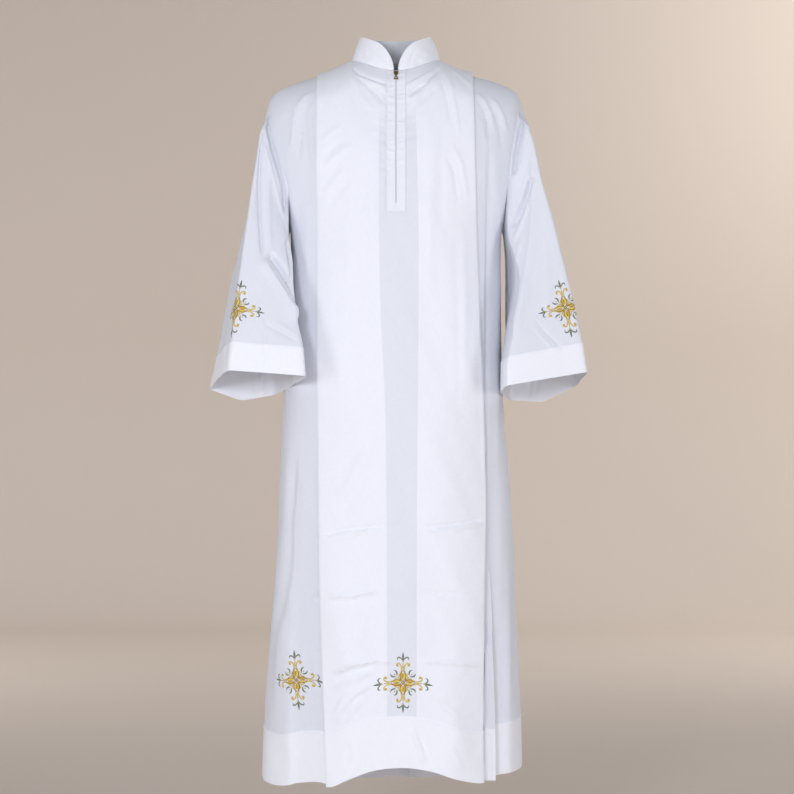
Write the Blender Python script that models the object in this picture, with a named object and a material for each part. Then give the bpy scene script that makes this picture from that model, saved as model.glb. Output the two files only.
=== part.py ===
"""An alb: a long white vestment with box pleats, wide sleeves, a standing collar and a neck zip.

It keeps the hollow form it has when worn. The origin is the middle of the neck opening at the level
of the shoulder seams, where the wearer holds it up. +Z is up, the front faces -Y, and -X is the
wearer's right. Every cloth wall is a grid of points: columns run across the cut, rows run down it.
"""

import math

import bpy
import numpy as np

MM = 0.001

# Cloth and seams
WALL = 1.2 * MM
HALF = WALL / 2
SEAM_GAP = 0.3 * MM
TURN_UP = 0.5 * MM  # what a turned-up hem or cuff adds to the outside of a wall
FRONT = -1
BACK = 1
RIGHT = -1
LEFT = 1

# Body: half-widths to the wearer's right and left, and depths to the front and back
FULLNESS = 2.4  # exponent of the rounded cross-section
ROUND = 0.07  # how far down the shoulder the cloth turns from lying flat to hanging
UNDERARM = -0.335
SLIT_END = -0.294
HEM_LEVEL = -1.42
HEM_DEPTH = 0.098
SEAM_EDGE = 6.0 * MM  # columns that start this near the shoulder seam's plane are cut on it
SETTLING = 12  # rounds in which a height and a place that depend on each other are found

# Neck opening, seen from above
NECK_SIDE = 0.088
NECK_FRONT = 0.095
NECK_BACK = 0.065

# Pleats: three layers of cloth, LAYER apart, between a fold at the edge and one near the middle
LAYER = 3.0 * MM
PLEAT_OPENS_BELOW = -0.45
PLEAT_OPENS_OVER = 0.95
SIDE_SINKS = 1.15  # how soon, going inward, the side panel sinks to the under-layer's depth
TURN_STEPS = 3
UNDER_STEPS = (0.0, 0.26, 0.52, 0.76, 1.0)
SIDE_STEPS = 8
ARMHOLE_ROUND_ROWS = 5
ARMHOLE_CHEST_ROWS = 5
ARMHOLE_LOW_ROWS = 2
SKIRT_ROWS = 8
HEM_ROWS = 2
HEM_LINE = 3.0 * MM  # height over which the hem's thicker band begins

# Collar
COLLAR_WALL = 1.8 * MM
COLLAR_FRONT_HEIGHT = 0.050
COLLAR_SIDE_HEIGHT = 0.046
COLLAR_BACK_HEIGHT = 0.043
COLLAR_TOP_SIDE = 0.071
COLLAR_TOP_FRONT = 0.083
COLLAR_TOP_BACK = 0.052
COLLAR_CORNER = 0.045  # length over which each front end rises from its rounded corner
COLLAR_LOWEST = 0.10  # share of the height left at the very end
COLLAR_MOUTH = 0.0048  # half the gap between the collar's two front ends
COLLAR_CORNER_COLUMNS = (COLLAR_MOUTH, 0.0075, 0.0120, 0.0280)
COLLAR_LEVELS = (0.0, 0.33, 0.67, 1.0)
SEAM_NEAR = 0.05  # the neckline this near the shoulder seam meets the collar sideways
SIDE_CLIMB = 0.4
NECK_CLOSES = 4.4  # how fast the neckline's direction closes in on the middle, a metre

# Zip
SLIT = 1.3 * MM
FACING_EDGE = 18.8 * MM
FACING_WALL = 1.0 * MM
TAPE_WIDTH = 12.0 * MM
TAPE_WALL = 1.0 * MM
TAPE_SPLIT = 0.2 * MM
SLIDER_CENTRE = -0.0375
SLIDER_LENGTH = 9.0 * MM
SLIDER_TOP_HALF = 4.9 * MM
SLIDER_FOOT_HALF = 3.6 * MM
SLIDER_WAIST = 0.6  # share of the way from the top's half-width to the foot's, half way down
SLIDER_THICK = 2.8 * MM
SLIDER_TAPER = 0.8
SLIDER_BEVEL = 0.5 * MM
BAIL_HALF = 0.8 * MM
BAIL_LENGTH = 7.0 * MM
BAIL_HEIGHT = 3.0 * MM
BAIL_BAR = 1.0 * MM
BAIL_BEVEL = 0.8 * MM
BAIL_SUNK = 0.6 * MM  # how deep the bail's feet go into the slider
PULL_WALL = 0.9 * MM
PULL_DOWN = 1.2 * MM  # hinge below the slider's middle
PULL_OUT = 4.0 * MM  # hinge in front of the slider's back

# Sleeves
SLEEVE_ROWS = 13
CUFF_DEPTH_ROWS = 2
SLEEVE_START = 1.7 * MM  # the sleeve's first ring stands this far off the armhole's edge
SLEEVE_LEAVES = np.array((1.2, 0.0, -0.2))  # where a sleeve heads as it leaves, with the wearer's left at +X
PANEL_SHARE = 0.6  # share of the panel's own direction in it
CAP_STEP = 1.5  # the cap runs down to this step


class Table:
    """Rows of sizes under named columns, read as smooth curves along the first column."""

    def __init__(self, names, *rows):
        rows = sorted(rows)
        self.keys = np.array([row[0] for row in rows])
        self.columns = {name: np.array([row[i] for row in rows]) for i, name in enumerate(names)}

    def at(self, name, key):
        keys = self.keys
        values = self.columns[name]
        key = min(max(key, keys[0]), keys[-1])
        i = min(max(int(np.searchsorted(keys, key)) - 1, 0), len(keys) - 2)
        slopes = np.gradient(values, keys)
        step = keys[i + 1] - keys[i]
        t = (key - keys[i]) / step
        start = (2 * t**3 - 3 * t**2 + 1) * values[i] + (t**3 - 2 * t**2 + t) * step * slopes[i]
        end = (3 * t**2 - 2 * t**3) * values[i + 1] + (t**3 - t**2) * step * slopes[i + 1]
        return float(start + end)


BODY = Table(
    ("z", "right", "left", "front", "back"),
    (0.040, 0.270, 0.265, 0.098, 0.072),
    (-0.030, 0.269, 0.264, 0.105, 0.090),
    (-0.056, 0.268, 0.262, 0.112, 0.098),
    (-0.084, 0.267, 0.260, 0.121, 0.105),
    (-0.130, 0.266, 0.255, 0.132, 0.116),
    (-0.183, 0.2595, 0.251, 0.144, 0.124),
    (-0.252, 0.2366, 0.2396, 0.152, 0.129),
    (-0.311, 0.2163, 0.2205, 0.158, 0.131),
    (-0.335, 0.212, 0.212, 0.160, 0.132),
    (-0.450, 0.214, 0.210, 0.164, 0.134),
    (-0.650, 0.223, 0.213, 0.170, 0.142),
    (-0.820, 0.232, 0.224, 0.176, 0.150),
    (-0.976, 0.238, 0.236, 0.183, 0.160),
    (-1.100, 0.247, 0.240, 0.189, 0.170),
    (-1.216, 0.257, 0.246, 0.195, 0.180),
    (-1.340, 0.264, 0.250, 0.201, 0.190),
    (-1.470, 0.268, 0.252, 0.207, 0.200),
)

ARMHOLE = Table(
    ("z", "right", "left"),
    (-0.070, 0.2570, 0.2480),
    (-0.0815, 0.2560, 0.2465),
    (-0.130, 0.2500, 0.2400),
    (-0.183, 0.2366, 0.2310),
    (-0.252, 0.2150, 0.2240),
    (-0.311, 0.2115, 0.2155),
    (-0.335, 0.2120, 0.2120),
)

SHOULDER = Table(
    ("x", "right", "left"),
    (0.088, 0.000, 0.001),
    (0.108, -0.009, -0.009),
    (0.132, -0.019, -0.018),
    (0.162, -0.0265, -0.0255),
    (0.196, -0.0385, -0.0365),
    (0.226, -0.0535, -0.0525),
    (0.244, -0.0665, -0.0680),
    (0.256, -0.0815, -0.0830),
    (0.280, -0.1250, -0.1250),
)

# Where the shoulder surface would reach over the neck opening
NECK_RISE = {FRONT: 0.010, BACK: 0.034}

FRONT_PLEATS = Table(
    ("z", "right_edge", "right_under", "left_under", "left_edge"),
    (0.030, -0.1545, -0.0325, 0.0380, 0.1495),
    (-0.100, -0.1544, -0.0330, 0.0390, 0.1515),
    (-0.380, -0.1533, -0.0325, 0.0440, 0.1590),
    (-0.520, -0.1530, -0.0290, 0.0435, 0.1635),
    (-0.670, -0.1528, -0.0215, 0.0425, 0.1680),
    (-0.860, -0.1500, -0.0185, 0.0410, 0.1745),
    (-1.060, -0.1465, -0.0175, 0.0400, 0.1705),
    (-1.420, -0.1327, -0.0170, 0.0400, 0.1690),
)

BACK_PLEATS = Table(
    ("z", "right_edge", "right_under", "left_under", "left_edge"),
    (0.040, -0.1380, -0.0300, 0.0300, 0.1360),
    (-0.600, -0.1380, -0.0290, 0.0310, 0.1370),
    (-1.470, -0.1300, -0.0270, 0.0300, 0.1340),
)

FRONT_HEM = Table(
    ("x", "height"),
    (-0.266, -1.4260),
    (-0.239, -1.4285),
    (-0.190, -1.4175),
    (-0.150, -1.4155),
    (-0.133, -1.4205),
    (-0.090, -1.4040),
    (-0.045, -1.3880),
    (0.008, -1.3820),
    (0.070, -1.3900),
    (0.125, -1.4080),
    (0.169, -1.4160),
    (0.205, -1.4070),
    (0.250, -1.4020),
)

BACK_HEM = Table(
    ("x", "height"),
    (-0.266, -1.4260),
    (-0.200, -1.4420),
    (-0.110, -1.4560),
    (0.000, -1.4600),
    (0.110, -1.4520),
    (0.200, -1.4250),
    (0.250, -1.4020),
)

# The widest folds: ridges that start at a height and grow towards the hem
FRONT_FOLDS = (
    # x at the start, x at the hem, start height, half-width, rise at the hem
    (-0.205, -0.214, -0.50, 0.016, 0.008),
    (-0.080, -0.094, -0.80, 0.034, 0.007),
    (0.105, 0.112, -0.72, 0.030, 0.006),
    (0.182, 0.186, -0.25, 0.0075, 0.012),
    (0.214, 0.226, -0.42, 0.010, 0.008),
)

BACK_FOLDS = (
    (-0.196, -0.216, -0.42, 0.016, 0.012),
    (-0.090, -0.104, -0.40, 0.024, 0.012),
    (-0.012, -0.004, -0.62, 0.030, 0.010),
    (0.076, 0.088, -0.46, 0.026, 0.013),
    (0.190, 0.204, -0.38, 0.015, 0.012),
)

PLEATS = {FRONT: FRONT_PLEATS, BACK: BACK_PLEATS}
HEMS = {FRONT: FRONT_HEM, BACK: BACK_HEM}
FOLDS = {FRONT: FRONT_FOLDS, BACK: BACK_FOLDS}
OPEN_AT_HEM = {FRONT: 0.016, BACK: 0.009}

# Distances from the middle of the box panel's columns; the front's innermost pair edges the zip slit
BOX_COLUMNS = {
    FRONT: (0.121, 0.088, 0.0845, 0.075, 0.060, 0.038, FACING_EDGE, SLIT),
    BACK: (0.112, 0.088, 0.0845, 0.075, 0.058, 0.029),
}

# Each ring has a front and a back corner at its outer and inner side. The back edge sags between
# its corners, and the inner side hugs the body.
SLEEVE_COLUMNS = (
    "step", "outer_z", "inner_z", "tilt", "front_outer_x", "front_inner_x", "back_inner_x", "back_outer_x",
    "front_outer_y", "front_inner_y", "back_y", "sag", "hug",
)

SLEEVES = {
    RIGHT: Table(
        SLEEVE_COLUMNS,
        (1, -0.150, -0.352, 0.000, 0.2690, 0.2130, 0.2175, 0.2730, -0.078, -0.080, 0.082, 0.000, 0.000),
        (2, -0.235, -0.382, 0.000, 0.2780, 0.2060, 0.2225, 0.2870, -0.098, -0.104, 0.082, 0.000, 0.000),
        (3, -0.325, -0.427, 0.003, 0.2900, 0.2020, 0.2280, 0.3080, -0.122, -0.130, 0.075, 0.000, 0.000),
        (4, -0.420, -0.484, 0.007, 0.3010, 0.1970, 0.2340, 0.3300, -0.146, -0.156, 0.060, 0.002, 0.002),
        (5, -0.515, -0.544, 0.012, 0.3120, 0.1870, 0.2400, 0.3500, -0.170, -0.182, 0.040, 0.006, 0.004),
        (6, -0.579, -0.591, 0.015, 0.3190, 0.1780, 0.2430, 0.3630, -0.186, -0.200, 0.025, 0.012, 0.006),
        (7, -0.636, -0.648, 0.018, 0.3240, 0.1725, 0.2450, 0.3755, -0.196, -0.210, 0.015, 0.018, 0.006),
    ),
    LEFT: Table(
        SLEEVE_COLUMNS,
        (1, -0.146, -0.352, 0.000, 0.2680, 0.2155, 0.2175, 0.2710, -0.076, -0.080, 0.082, 0.000, 0.000),
        (2, -0.230, -0.382, 0.000, 0.2840, 0.2270, 0.2185, 0.2820, -0.094, -0.104, 0.082, 0.000, 0.000),
        (3, -0.320, -0.427, 0.003, 0.3060, 0.2400, 0.2185, 0.2990, -0.112, -0.130, 0.072, 0.000, 0.001),
        (4, -0.412, -0.484, 0.005, 0.3280, 0.2380, 0.2200, 0.3180, -0.128, -0.155, 0.055, 0.002, 0.003),
        (5, -0.508, -0.550, 0.008, 0.3500, 0.2260, 0.2220, 0.3380, -0.140, -0.176, 0.035, 0.006, 0.008),
        (6, -0.576, -0.604, 0.011, 0.3645, 0.2150, 0.2260, 0.3500, -0.147, -0.190, 0.022, 0.012, 0.013),
        (7, -0.635, -0.662, 0.014, 0.3735, 0.2120, 0.2290, 0.3590, -0.152, -0.200, 0.012, 0.018, 0.015),
    ),
}
CUFF_STEP = 6.0
LAST_STEP = 7.0
BACK_SWELL = 4.0 * MM  # how far the middle of a sleeve's back stands out
RING_FINENESS = 8  # fine points for each one kept while a ring's corners are rounded
RING_SOFTENING = 22  # passes that round them
CUFF_LINE = 0.05  # steps over which the cuff's thicker band begins

# Outline of the pull: distance below its hinge, half-width outside, half-width of its openings
PULL_OUTLINE = (
    (-0.45, 2.3, 1.5),
    (0.45, 2.5, 1.5),
    (3.5, 2.2, 1.2),
    (6.5, 1.7, 0.6),
    (8.7, 1.4, 0.5),
    (11.0, 1.9, 0.5),
    (14.0, 3.2, 1.7),
    (17.0, 4.2, 2.7),
    (19.5, 4.3, 2.7),
)
PULL_OPEN_ROWS = (1, 2, 5, 6)  # cells of the outline that are cut through


def mix(a, b, t):
    return a + (b - a) * t


def smooth(t):
    t = min(max(t, 0.0), 1.0)
    return t * t * (3 - 2 * t)


def unit(vector):
    return vector / np.linalg.norm(vector)


def side_name(side):
    return "right" if side < 0 else "left"


def clear_scene():
    for thing in list(bpy.data.objects):
        bpy.data.objects.remove(thing, do_unlink=True)


def material(name, colour, roughness, metallic=0.0):
    made = bpy.data.materials.new(name)
    made.use_nodes = True
    shader = made.node_tree.nodes["Principled BSDF"]
    shader.inputs["Base Color"].default_value = (*colour, 1.0)
    shader.inputs["Roughness"].default_value = roughness
    shader.inputs["Metallic"].default_value = metallic
    return made


def add_object(name, points, faces, finish):
    mesh = bpy.data.meshes.new(name)
    mesh.from_pydata([tuple(point) for point in points], [], faces)
    mesh.update()
    mesh.shade_smooth()
    mesh.set_sharp_from_angle(angle=math.radians(50))
    mesh.materials.append(finish)
    thing = bpy.data.objects.new(name, mesh)
    bpy.context.scene.collection.objects.link(thing)
    return thing


def wall(name, outer, inner, finish, missing=(), ring=False):
    """A closed wall between two grids, rows down and columns across; missing cells are cut through."""
    rows, columns = outer.shape[:2]
    across = columns if ring else columns - 1
    points = np.concatenate([outer.reshape(-1, 3), inner.reshape(-1, 3)])
    layer = rows * columns
    missing = set(missing)

    def corner(row, column):
        return row * columns + column % columns

    def has(row, column):
        if ring:
            column %= columns
        return 0 <= row < rows - 1 and 0 <= column < across and (row, column) not in missing

    faces = []
    for row in range(rows - 1):
        for column in range(across):
            if not has(row, column):
                continue
            a = corner(row, column)
            b = corner(row, column + 1)
            c = corner(row + 1, column + 1)
            d = corner(row + 1, column)
            faces.append((a, d, c, b))
            faces.append((a + layer, b + layer, c + layer, d + layer))
            for start, end, neighbour in (
                (a, d, (row, column - 1)),
                (d, c, (row + 1, column)),
                (c, b, (row, column + 1)),
                (b, a, (row - 1, column)),
            ):
                if not has(*neighbour):
                    faces.append((start, start + layer, end + layer, end))
    used = sorted({index for face in faces for index in face})
    place = {old: new for new, old in enumerate(used)}
    faces = [tuple(place[index] for index in face) for face in faces]
    return add_object(name, points[used], faces, finish)


def seam_height(side, x):
    """Height of the shoulder seam at x, carried on over the neck opening."""
    if abs(x) >= NECK_SIDE:
        return SHOULDER.at("right" if x < 0 else "left", abs(x))
    right = SHOULDER.at("right", NECK_SIDE)
    left = SHOULDER.at("left", NECK_SIDE)
    return mix(right, left, (x / NECK_SIDE + 1) / 2) + NECK_RISE[side] * (1 - (x / NECK_SIDE) ** 2)


def fold_rise(side, x, z):
    rise = 0.0
    for x_start, x_hem, start, half_width, height in FOLDS[side]:
        grown = smooth((start - z) / (start - HEM_LEVEL))
        centre = mix(x_start, x_hem, grown)
        rise += height * grown * math.exp(-(((x - centre) / half_width) ** 2))
    return rise


def height_at(side, x, down):
    turn = min(down, 1.0) * math.pi / 2
    return seam_height(side, x) - ROUND * (1 - math.cos(turn)) - max(down - 1.0, 0.0)


def surface(side, x, down):
    """A point of the worn form; down is 0 at the shoulder seam, 1 where the cloth hangs, then metres."""
    z = height_at(side, x, down)
    turn = min(down, 1.0) * math.pi / 2
    girth = BODY.at("right" if x < 0 else "left", z)
    share = max(1 - abs(x / girth) ** FULLNESS, 0.0) ** (1 / FULLNESS)
    depth = BODY.at("front" if side == FRONT else "back", z)
    reach = depth * share + fold_rise(side, x, z) * min(share * 2, 1.0)
    return np.array((x, side * reach * math.sin(turn), z))


def directions(side, x, down):
    """Unit vectors out of the cloth and along it towards +X."""
    tiny = 2e-4
    inward = -tiny if x > 0 else tiny
    along = (surface(side, x + inward, down) - surface(side, x, down)) / inward
    low = (surface(side, x, down + tiny) - surface(side, x, max(down - tiny, 0.0)))
    out = unit(np.cross(along, low) * side)
    return out, unit(along)


def down_at(side, x, z):
    """The surface parameter that reaches height z on the column at x."""
    drop = seam_height(side, x) - z
    if drop >= ROUND:
        return 1 + drop - ROUND
    return math.acos(min(max(1 - drop / ROUND, -1.0), 1.0)) / (math.pi / 2)


def neck_down(side, x):
    """The surface parameter on the neckline at x."""
    if abs(x) >= NECK_SIDE:
        return 0.0
    reach = (NECK_FRONT if side == FRONT else NECK_BACK) * math.sqrt(1 - (x / NECK_SIDE) ** 2)
    down = 0.5
    for _ in range(SETTLING):
        point = surface(side, x, down)
        share = abs(point[1]) / max(math.sin(down * math.pi / 2), 1e-6)
        down = math.asin(min(reach / share, 1.0)) / (math.pi / 2)
    return down


def panel_edge(side, z):
    """x of the panel's side edge: the armhole above the underarm, the side seam below it."""
    if z > UNDERARM:
        return side * ARMHOLE.at(side_name(side), z)
    return side * BODY.at(side_name(side), z)


def pleat_open(face, z):
    return OPEN_AT_HEM[face] * smooth((PLEAT_OPENS_BELOW - z) / PLEAT_OPENS_OVER)


class Column:
    """One line of points down a panel: its x at each height, its depth under the box, its turn."""

    def __init__(self, face, x_at, lift_at, turn=0.0, swing=0.0, toward=1, on_seam=False):
        self.face = face
        self.x_at = x_at
        self.lift_at = lift_at
        self.turn = turn
        self.swing = swing
        self.toward = toward
        self.on_seam = on_seam

    def top(self):
        z = 0.0
        for _ in range(SETTLING):
            x = self.x_at(z)
            z = surface(self.face, x, neck_down(self.face, x))[2]
        return z

    def place(self, z, down=None):
        """The wall's middle and the direction its outer side faces."""
        x = self.x_at(z)
        if down is None:
            down = down_at(self.face, x, z)
        out, along = directions(self.face, x, down)
        if self.on_seam and z <= UNDERARM + 1e-6:
            out = np.array((1.0 if x > 0 else -1.0, 0.0, 0.0))
        facing = out * math.cos(self.turn) - along * self.toward * math.sin(self.turn)
        middle = surface(self.face, x, down) + out * self.lift_at(z) + self.swing * facing * LAYER / 2
        return middle, facing


def pleat_columns(face, side):
    """Columns from the side seam to the box panel's folded edge: side panel, under-layer, middle layer."""
    pleats = PLEATS[face]
    edge_name = side_name(side) + "_edge"
    under_name = side_name(side) + "_under"

    def edge(z):
        return pleats.at(edge_name, z)

    def under(z):
        return pleats.at(under_name, z)

    def base_lift(z, t):
        return -(2 * LAYER + pleat_open(face, z) * mix(1.0, 0.5, t))

    columns = []
    for step in range(SIDE_STEPS):
        t = step / SIDE_STEPS
        columns.append(Column(
            face,
            lambda z, t=t: mix(panel_edge(side, z), edge(z), t),
            lambda z, t=t: base_lift(z, 0.0) * smooth(t * SIDE_SINKS),
            on_seam=step == 0,
        ))
    for t in UNDER_STEPS:
        columns.append(Column(
            face,
            lambda z, t=t: mix(edge(z), under(z), t),
            lambda z, t=t: base_lift(z, t),
        ))
    for step in range(1, TURN_STEPS):
        columns.append(Column(
            face, under,
            lambda z: base_lift(z, 1.0) + LAYER / 2,
            turn=math.pi * step / TURN_STEPS, swing=-1, toward=-side,
        ))
    for t in UNDER_STEPS[::-1]:
        columns.append(Column(
            face,
            lambda z, t=t: mix(edge(z), under(z), t),
            lambda z, t=t: mix(-LAYER, base_lift(z, 1.0) + LAYER, t),
            turn=math.pi, toward=-side,
        ))
    for step in range(1, TURN_STEPS):
        columns.append(Column(
            face, edge,
            lambda z: -LAYER / 2,
            turn=math.pi * (1 - step / TURN_STEPS), swing=1, toward=-side,
        ))
    columns.append(Column(face, edge, lambda z: 0.0))
    return columns


def panel_columns(face):
    spread = BOX_COLUMNS[face]
    middle = (0.0,) if face == BACK else ()
    places = [-x for x in spread] + list(middle) + list(spread[::-1])
    box = [Column(face, lambda z, x=x: x, lambda z: 0.0) for x in places]
    return pleat_columns(face, RIGHT) + box + pleat_columns(face, LEFT)[::-1]


def panel_heights(face, column):
    """The column's (height, surface parameter) pairs: shoulder round, chest, underarm, skirt, hem band."""
    top = column.top()
    start = neck_down(face, column.x_at(top))
    places = []
    for step in range(ARMHOLE_ROUND_ROWS):
        down = mix(start, 1.0, step / ARMHOLE_ROUND_ROWS)
        z = height_at(face, column.x_at(top), down)
        if step:
            z = height_at(face, column.x_at(z), down)
        places.append((z, down))
    hang = height_at(face, column.x_at(top), 1.0)
    places += [
        (mix(hang, SLIT_END, step / ARMHOLE_CHEST_ROWS), None)
        for step in range(ARMHOLE_CHEST_ROWS)
    ]
    places += [
        (mix(SLIT_END, UNDERARM, step / ARMHOLE_LOW_ROWS), None)
        for step in range(ARMHOLE_LOW_ROWS)
    ]
    hem = HEMS[face].at("height", column.x_at(HEM_LEVEL))
    band = hem + HEM_DEPTH
    places += [
        (mix(UNDERARM, band + HEM_LINE, step / SKIRT_ROWS), None)
        for step in range(SKIRT_ROWS + 1)
    ]
    places += [
        (mix(band, hem, step / HEM_ROWS), None)
        for step in range(HEM_ROWS + 1)
    ]
    return places


SLIT_ROW = ARMHOLE_ROUND_ROWS + ARMHOLE_CHEST_ROWS
ZIP_TOP_ROW = 0.2
FACING_END_ROW = SLIT_ROW + 0.83
TAPE_END_ROW = SLIT_ROW + 0.3
UNDERARM_ROW = SLIT_ROW + ARMHOLE_LOW_ROWS
BAND_ROW = UNDERARM_ROW + SKIRT_ROWS + 1


def panel_grid(face):
    columns = panel_columns(face)
    ladders = [panel_heights(face, column) for column in columns]
    rows = len(ladders[0])
    middle = np.zeros((rows, len(columns), 3))
    facing = np.zeros((rows, len(columns), 3))
    for j, (column, ladder) in enumerate(zip(columns, ladders)):
        for i, (z, down) in enumerate(ladder):
            middle[i, j], facing[i, j] = column.place(z, down)
    # The shoulder and side seams are cut square, half a seam gap from the middle plane
    shoulder = [j for j in range(len(columns)) if abs(middle[0, j, 1]) < SEAM_EDGE]
    for j in shoulder:
        facing[0, j, 1] = 0.0
        facing[0, j] = unit(facing[0, j])
        middle[0, j, 1] = face * SEAM_GAP / 2
    for j in (0, -1):
        middle[UNDERARM_ROW:, j, 1] = face * SEAM_GAP / 2
    return columns, middle, facing


def panel_wall(name, face, middle, facing, finish, missing=()):
    thick = np.full(middle.shape[:2] + (1,), HALF)
    thick[BAND_ROW:] += TURN_UP
    outer = middle + facing * thick
    inner = middle - facing * HALF
    if face == BACK:
        outer = outer[:, ::-1]
        inner = inner[:, ::-1]
    return wall(name, outer, inner, finish, missing)


def build_front(cloth):
    columns, middle, facing = panel_grid(FRONT)
    slit_cell = len(columns) // 2 - 1
    missing = [(row, slit_cell) for row in range(SLIT_ROW)]
    panel_wall("front", FRONT, middle, facing, cloth, missing)
    return middle, OnFront(columns, middle, facing)


def build_back(cloth):
    _, middle, facing = panel_grid(BACK)
    panel_wall("back", BACK, middle, facing, cloth)
    return middle


def armhole_ring(side, front, back):
    """The armhole's edge as a ring from the underarm up the front, over the shoulder and down the back."""
    j = 0 if side == RIGHT else -1
    inward = 1 if side == RIGHT else -2
    rim = []
    for grid, rows in ((front, range(UNDERARM_ROW, -1, -1)), (back, range(1, UNDERARM_ROW))):
        for row in rows:
            edge = grid[row, j]
            outward = unit(edge - grid[row, inward])
            if row in (0, UNDERARM_ROW):
                outward[1] = 0.0
                edge = edge * (1, 0, 1)
            outward = unit(outward * PANEL_SHARE + SLEEVE_LEAVES * (side, 1, 1))
            rim.append(edge + outward * SLEEVE_START)
    return np.array(rim)


def sleeve_ring(side, step, count):
    """A ring round the sleeve's four soft corners, from the middle of its inner side."""
    table = SLEEVES[side]
    size = {name: table.at(name, step) for name in SLEEVE_COLUMNS}
    corners = [
        (size["front_inner_x"], size["front_inner_y"], size["inner_z"] + size["tilt"]),
        (size["front_outer_x"], size["front_outer_y"], size["outer_z"] + size["tilt"]),
        (size["back_outer_x"], size["back_y"], size["outer_z"] - size["tilt"]),
        (size["back_inner_x"], size["back_y"], size["inner_z"] - size["tilt"]),
    ]
    corners = [np.array((side * x, y, z)) for x, y, z in corners]
    start = (corners[3] + corners[0]) / 2 - np.array((side * size["hug"], 0.0, 0.0))
    back = (corners[2] + corners[3]) / 2 + np.array((0.0, BACK_SWELL, -size["sag"]))
    path = [start, *corners[:3], back, corners[3], start]
    lengths = np.cumsum([0.0] + [np.linalg.norm(b - a) for a, b in zip(path, path[1:])])
    fine = RING_FINENESS * count
    ring = np.array([
        [np.interp(lengths[-1] * k / fine, lengths, [point[axis] for point in path]) for axis in range(3)]
        for k in range(fine)
    ])
    for _ in range(RING_SOFTENING):
        ring = (np.roll(ring, 1, axis=0) + 2 * ring + np.roll(ring, -1, axis=0)) / 4
    return ring[::RING_FINENESS]


def ring_normals(rings, side):
    along = np.roll(rings, -1, axis=1) - np.roll(rings, 1, axis=1)
    down = np.gradient(rings, axis=0)
    out = np.cross(along, down) * side
    return out / np.linalg.norm(out, axis=2, keepdims=True)


def build_sleeve(name, side, front, back, cloth):
    armhole = armhole_ring(side, front, back)
    count = len(armhole)
    steps = list(np.linspace(0.0, CUFF_STEP - CUFF_LINE, SLEEVE_ROWS))
    steps += list(np.linspace(CUFF_STEP, LAST_STEP, CUFF_DEPTH_ROWS + 1))
    first = sleeve_ring(side, 1.0, count)
    second = sleeve_ring(side, 2.0, count)
    rings = []
    goal = sleeve_ring(side, CAP_STEP, count)
    leave = (first - armhole) * CAP_STEP
    arrive = (second - first) * CAP_STEP
    for step in steps:
        if step >= CAP_STEP:
            rings.append(sleeve_ring(side, step, count))
            continue
        # The cap: a curve that leaves the armhole and runs into the first rings
        t = step / CAP_STEP
        rings.append(
            (2 * t**3 - 3 * t**2 + 1) * armhole
            + (t**3 - 2 * t**2 + t) * leave
            + (3 * t**2 - 2 * t**3) * goal
            + (t**3 - t**2) * arrive
        )
    rings = np.array(rings)
    out = ring_normals(rings, side)
    thick = np.full(rings.shape[:2] + (1,), HALF)
    thick[SLEEVE_ROWS:] += TURN_UP
    outer = rings + out * thick
    inner = rings - out * HALF
    if side == RIGHT:
        outer = outer[:, ::-1]
        inner = inner[:, ::-1]
    wall(name, outer[:, ::-1], inner[:, ::-1], cloth, ring=True)


def neck_point(angle):
    """The neckline at an angle from the front middle, with the direction in which the panel meets it."""
    x = NECK_SIDE * math.sin(angle)
    face = FRONT if math.cos(angle) > 0 else BACK
    down = neck_down(face, x)
    tiny = 1e-3
    point = surface(face, x, down)
    if down < SEAM_NEAR:
        return point, unit(np.array((-math.copysign(1.0, x), 0.0, SIDE_CLIMB)))
    towards = surface(face, x, max(down - tiny, 0.0)) - surface(face, x, down + tiny)
    towards[0] -= x * tiny * NECK_CLOSES
    return point, unit(towards)


def build_collar(cloth):
    mouth = math.asin(COLLAR_MOUTH / NECK_SIDE)
    front = COLLAR_CORNER_COLUMNS + tuple(x for x in BOX_COLUMNS[FRONT][::-1] if SLIT < x <= NECK_SIDE)
    back = tuple(x for x in BOX_COLUMNS[BACK] if x < NECK_SIDE)
    angles = [math.asin(x / NECK_SIDE) for x in sorted(front)]
    angles += [math.pi - math.asin(x / NECK_SIDE) for x in back] + [math.pi]
    angles = angles + [2 * math.pi - angle for angle in angles[-2::-1]]
    middle = np.zeros((len(COLLAR_LEVELS), len(angles), 3))
    for j, angle in enumerate(angles):
        base, towards = neck_point(angle)
        base = base + towards * (SEAM_GAP + COLLAR_WALL / 2)
        cosine = math.cos(angle)
        if cosine > 0:
            height = mix(COLLAR_SIDE_HEIGHT, COLLAR_FRONT_HEIGHT, cosine)
            reach = COLLAR_TOP_FRONT
        else:
            height = mix(COLLAR_SIDE_HEIGHT, COLLAR_BACK_HEIGHT, -cosine)
            reach = COLLAR_TOP_BACK
        top = np.array((COLLAR_TOP_SIDE * math.sin(angle), -reach * cosine, base[2] + height))
        gone = NECK_SIDE * max(min(angle, 2 * math.pi - angle) - mouth, 0.0)
        share = max(math.sqrt(1 - (1 - min(gone / COLLAR_CORNER, 1.0)) ** 2), COLLAR_LOWEST)
        for i, level in enumerate(COLLAR_LEVELS):
            middle[i, j] = mix(base, top, level * share)
    along = np.gradient(middle, axis=1)
    rise = np.gradient(middle, axis=0)
    out = np.cross(along, rise)
    out /= np.linalg.norm(out, axis=2, keepdims=True)
    outer = middle + out * COLLAR_WALL / 2
    inner = middle - out * COLLAR_WALL / 2
    wall("collar", outer[::-1], inner[::-1], cloth)


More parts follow.
